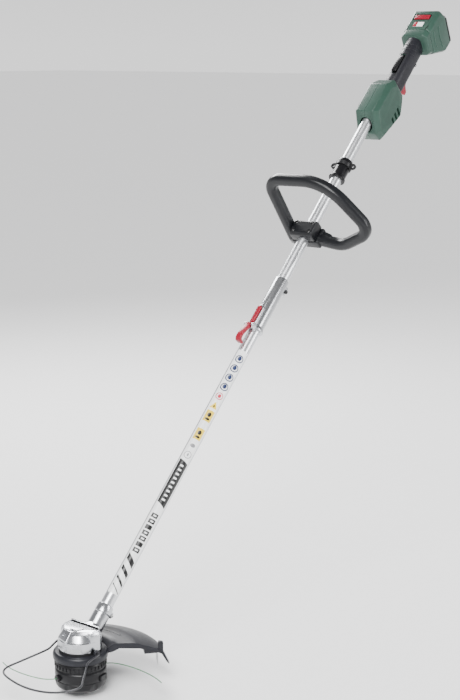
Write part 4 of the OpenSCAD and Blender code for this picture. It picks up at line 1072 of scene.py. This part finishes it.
def battery():
    shell = wrapped("battery_case", both(pack, PACK, 27) + both(pack, PACK_SIDE, 36), green)
    bevel(shell, 2, 3, 20)
    pocket = [(RELEASE_S - 8.5, -4), (RELEASE_S + 8.5, -4), (RELEASE_S + 8.5, 20), (RELEASE_S - 8.5, 20)]
    carve(shell, [prism("pocket", pocket, -22.5, 22.5, across(0, 0), painted_shade_green)], 30)
    carve(shell, [cuboid("rail", (PACK_Z - 4, -70, -14), (PACK_Z + 12, -6, 14), pack, painted_shade_green)], 30)
    # the groove under the badge
    groove = [(1662, 33), (1625, 21.3), (1617, 14), (1616.9, -16), (1622, -20.5), (1647.4, -30), (1668, -33)]
    path = [shaft(s, RELEASE_N, y) for s, y in groove]
    carve(shell, [swept("groove", path, [(-1.1, -1.3), (1.1, -1.3), (1.1, 1.3), (-1.1, 1.3)],
                        lambda i: Vector((-Q, 0, Q)), painted_shade_green)], 30)
    done(shell, "battery", "battery_shell", slot="green_plastic")
    # A dark green sheet on the floor of the button pocket: painted shade.
    shade_sheet = prism("pocket_shade", [(RELEASE_S - 9, -4.6), (RELEASE_S + 9, -4.6), (RELEASE_S + 9, -3.6),
                                     (RELEASE_S - 9, -3.6)], -23, 23, across(0, 0), painted_shade_green)
    done(shade_sheet, "battery", slot="green_plastic")
    for side, letter in ((-1, "L"), (1, "R")):
        for k, (a, b) in enumerate((((34, -8), (34, -46)), ((58, -4), (58, -56)))):
            rail = [pack(e, u, side * (flank(e, u) + 0.2)) for e, u in (a, ((a[0] + b[0]) / 2 - 3, -30), b)]
            rail = curve_through(rail, 6)
            ob = swept("flank_rib%s%d" % (letter, k), rail, arc(0, 0, 1.5, 0, 330, 11),
                       lambda i: Vector((Q, 0, Q)), green)
            done(ob, "battery", slot="green_plastic")


def flank(e, u):
    """Half width of the battery case at that place on its side."""
    top, low = 17 - (71 - e) * 0.36 if e < 71 else 12, -70 + (68 - e) * 0.34 if e < 68 else -62
    span = min(top - u, u - low)
    return 36 if span > 0 else 30


def battery_base():
    ob = wrapped("base_plate", both(pack, [(97.05, 0), (100, 4), (106, 0), (108, -8), (108, -60), (105, -66),
                                           (97.05, -66)], 28)
                 + both(pack, [(97.05, -4), (103, -6), (103, -60), (97.05, -60)], 34), grey)
    done(bevel(ob, 1.2, 3, 20), "battery", "battery_base", slot="base_grey")
    joint = wrapped("base_seam", both(pack, [(96, 1), (98.4, 1), (98.4, -65), (96, -65)], 28.4)
                    + both(pack, [(96, -4), (98.4, -4), (98.4, -61), (96, -61)], 35.4), print_and_shade_black)
    done(joint, "battery", slot="green_plastic")


def battery_button():
    outline = [(-6.4, 2), (6.4, 2), (6.4, 6.2), (5.4, 7.5), (-5.4, 7.5), (-6.4, 6.2)]
    key = prism("release_key", outline, -19.9, 19.9, across(RELEASE_S, 0), red)
    parts = [bevel(key, 0.8, 3, 30)]
    for k in range(-2, 3):
        rib = cuboid("rib", (2.3 * k - 0.4, -16, 7), (2.3 * k + 0.4, 16, 8), above(RELEASE_S, 0), red)
        parts.append(bevel(rib, 0.2, 2))
    done(join(parts), "battery_button", "battery_button", slot="red_plastic")


def battery_badge():
    plate = cuboid("badge_plate", (-7, -13, 5.9), (7, 13, 6.8), above(BADGE_S, 0), white_badge)
    done(bevel(plate, 0.35, 2), "battery", "battery_badge", slot="tube_metal")
    patch = cuboid("badge_patch", (-6.8, 3.5, 6.6), (6.8, 12.8, 7), above(BADGE_S, 0), red)
    done(bevel(patch, 0.1, 2), "battery", slot="red_plastic")


battery()
battery_base()
battery_button()
battery_badge()

# ================================================================ carried-over CAD nodes
CARRIED = {
    black: ("motor_base", "motor_cable", "power_plug", "power_socket", "handle_cable", "switch_module",
            "terminal_block", "line_reel"),
    zinc: ("head_screws", "neck_screw", "motor_rotor", "motor_shaft", "motor_bearings", "guard_screws",
           "cutter_screws", "drive_nut", "coupling_nut", "handle_screws", "housing_screws", "trigger_pin",
           "lock_off_pin", "battery_cells", "button_spring", "battery_button_spring"),
    copper: ("motor_stator",), nylon: ("wound_line",), board: ("control_board",)}
for material, names in CARRIED.items():
    for name in names:
        mesh = nodes[name].data
        mesh.materials.clear()
        mesh.materials.append(material)
for name, ob in nodes.items():
    if not ob.material_slots or ob.material_slots[0].material is None:
        ob.data.materials.clear()
        ob.data.materials.append(black)


# ================================================================ stage and light
def floor():
    ob = cuboid("floor", (-60, -60, -0.06), (60, 60, -0.002), lambda x, y, z: Vector((x, y, z)), paper)


def panel(name, spot, target, size, power):
    """A soft rectangular light at spot, turned to target."""
    data = bpy.data.lights.new(name, "AREA")
    data.shape = "RECTANGLE"
    data.size, data.size_y = size
    data.energy = power
    ob = bpy.data.objects.new(name, data)
    ob.location = spot
    ob.rotation_mode = "QUATERNION"
    ob.rotation_quaternion = (Vector(target) - Vector(spot)).to_track_quat("-Z", "Y")
    bpy.context.scene.collection.objects.link(ob)


def studio_world():
    """White at the horizon, falling off upwards so that bright metal keeps its shape."""
    world = bpy.data.worlds.new("studio")
    bpy.context.scene.world = world
    world.use_nodes = True
    tree = world.node_tree
    make, link = tree.nodes.new, tree.links.new
    coords = make("ShaderNodeTexCoord")
    split = make("ShaderNodeSeparateXYZ")
    ramp = make("ShaderNodeValToRGB")
    link(coords.outputs["Generated"], split.inputs["Vector"])
    link(split.outputs["Z"], ramp.inputs["Fac"])
    ramp.color_ramp.elements[0].position, ramp.color_ramp.elements[0].color = 0.0, (1, 1, 1, 1)
    ramp.color_ramp.elements[1].position, ramp.color_ramp.elements[1].color = 0.9, (0.22, 0.22, 0.22, 1)
    band = ramp.color_ramp.elements.new(0.3)
    band.color = (0.4, 0.4, 0.41, 1)
    link(ramp.outputs["Color"], tree.nodes["Background"].inputs["Color"])
    tree.nodes["Background"].inputs["Strength"].default_value = 1.35


def daylight(direction, strength, spread):
    """An even, soft light over everything, shining along direction."""
    data = bpy.data.lights.new("daylight", "SUN")
    data.energy, data.angle = strength, math.radians(spread)
    ob = bpy.data.objects.new("daylight", data)
    ob.rotation_mode = "QUATERNION"
    ob.rotation_quaternion = Vector(direction).to_track_quat("-Z", "Y")
    bpy.context.scene.collection.objects.link(ob)


paper = finish("paper", (0.9, 0.9, 0.9), 0.9, tone=0.01, bump=0.0)
floor()
daylight((0.75, 0.25, -1), 3.4, 35)
panel("key_light", (-2.2, -1.6, 2.6), (0.5, 0, 0.6), (1.1, 1.6), 120)
panel("side_light", (1.6, -2.6, 1.4), (0.5, 0, 0.6), (0.7, 1.8), 50)
panel("rim_light", (1.8, 2.0, 2.4), (0.5, 0, 0.6), (1.6, 1.2), 130)
studio_world()
